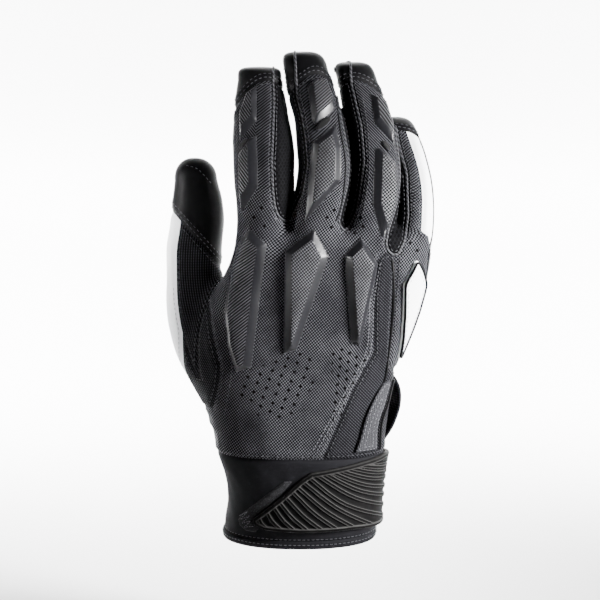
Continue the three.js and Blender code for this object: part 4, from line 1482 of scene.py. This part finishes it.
# A zigzag of stitches that holds the tape
boxLift = 1.2
boxStitch = [
    (-32.5, 15), (-28.6, 18), (-31.8, 13.4), (-27.6, 16), (-31, 11.8), (-27, 13.6), (-30, 10), (-26, 11),
]
boxStitch = np.array([(fromFront(x, z), z) for x, z in boxStitch])
spot, out = onCuff(boxStitch[:, 0], boxStitch[:, 1], boxLift)
sew([np.column_stack([spot, out])], "pale", pitch=1.5, length=1.2, radius=0.16)

# The black loop behind the pull tab
loopShape = dict(width=9.5, thick=1.5, corner=0.4, y=3.6, across=(-0.5, 0.866))
path = rounded([(38.5, 84), (42.2, 81.5), (45, 75), (44.9, 66.5), (41.8, 57), (38.2, 51), (36, 47.8)], 8)
path = np.column_stack([path[:, 0], np.full(len(path), loopShape["y"]), path[:, 1]])
way = frames(path)
across = np.tile([*loopShape["across"], 0.0], (len(path), 1))
w, t = loopShape["width"] / 2, loopShape["thick"] / 2
inner = w - loopShape["corner"]
profile = [
    (-w, -t / 2), (-inner, -t), (inner, -t), (w, -t / 2), (w, t / 2), (inner, t), (-inner, t), (-w, t / 2),
]
loopAt, loopTris = sweep(path, across, np.cross(across, way), profile)
weave = np.column_stack([loopAt[:, 1], loopAt[:, 2], loopAt[:, 0] * 0])
makeObject("pull_loop", loopAt, loopTris, looks["ribbed"], "pull_loop", {"weave": weave})

print("stitches")
makeStitches("stitching", stitches["dark"], looks["thread"])
makeStitches("pale_stitching", stitches["pale"], looks["paleThread"])
makeStitches("white_stitching", stitches["white"], looks["whiteThread"])

# Studio: a pale sweep, a key light from the right, a soft fill and a narrow side light from the left,
# and lights aimed at the sweep. Powers in watts.
print("studio")
studio = dict(
    key=3.5, fill=1.4, side=0.085, floor=50, near=14, back=85, world=0.045,
    pale=(0.93, 0.93, 0.93), shade=(0.90, 0.90, 0.905), wide=2500.0, drop=60,
)
sweepPath = rounded([(-1600, 0), (600, 0), (1100, 60), (1350, 400), (1400, 2200)], 12)
sides = (-studio["wide"], studio["wide"])
backdropAt = np.array([(x, y, z - studio["drop"]) for y, z in sweepPath for x in sides])
backdropFaces = np.array([(2 * i, 2 * i + 1, 2 * i + 3, 2 * i + 2) for i in range(len(sweepPath) - 1)])
pale = Recipe("backdrop")
paleColor = pale.mix(pale.noise(pale.inMillimetres(), 0.004) * 0.2, studio["pale"], studio["shade"])
makeObject("backdrop", backdropAt, backdropFaces, pale.done(paleColor, 0.9), sharp=0, stage=True)


def areaLight(name, place, target, size, power, spread=180):
    light = bpy.data.lights.new(name, "AREA")
    light.shape = "RECTANGLE"
    light.size, light.size_y = size
    light.energy = power
    light.spread = math.radians(spread)
    lamp = bpy.data.objects.new(name, light)
    lamp.location = place
    lamp.rotation_euler = (Vector(target) - Vector(place)).to_track_quat("-Z", "Y").to_euler()
    collection.objects.link(lamp)


# Places, targets and sizes in metres
areaLight("key", (0.43, -0.185, 0.26), (0.035, 0, 0.1), (0.14, 0.22), studio["key"], spread=60)
areaLight("side", (-0.6, -0.2, 0.3), (-0.066, 0, 0.18), (0.05, 0.1), studio["side"], spread=12)
areaLight("fill", (-0.9, 0.02, 0.25), (0, 0, 0.12), (0.3, 0.7), studio["fill"])
areaLight("floor", (0.0, 1.05, 1.2), (0, 1.05, -0.06), (1.8, 0.7), studio["floor"], spread=70)
areaLight("near_floor", (0.0, 0.45, 1.0), (0, 0.5, -0.06), (1.6, 0.4), studio["near"], spread=40)
for side in (-1, 1):
    areaLight("back", (side * 1.0, 0.4, 0.6), (side * 0.7, 1.4, 0.4), (0.5, 1.2), studio["back"])
world = bpy.data.worlds.new("studio")
world.use_nodes = True
background = world.node_tree.nodes["Background"]
background.inputs["Color"].default_value = (1, 1, 1, 1)
background.inputs["Strength"].default_value = studio["world"]
bpy.context.scene.world = world

cameraAt = dict(target=(-0.003, 0.0, 0.121), elevation=10, distance=1.0, lens=120, sensor=36)
lean = math.radians(cameraAt["elevation"])
target = Vector(cameraAt["target"])
camera = bpy.data.objects.new("camera", bpy.data.cameras.new("camera"))
camera.data.lens = cameraAt["lens"]
camera.data.sensor_width = cameraAt["sensor"]
camera.location = target + Vector((0, -math.cos(lean), math.sin(lean))) * cameraAt["distance"]
camera.rotation_euler = (math.radians(90) - lean, 0, 0)
collection.objects.link(camera)
bpy.context.scene.camera = camera
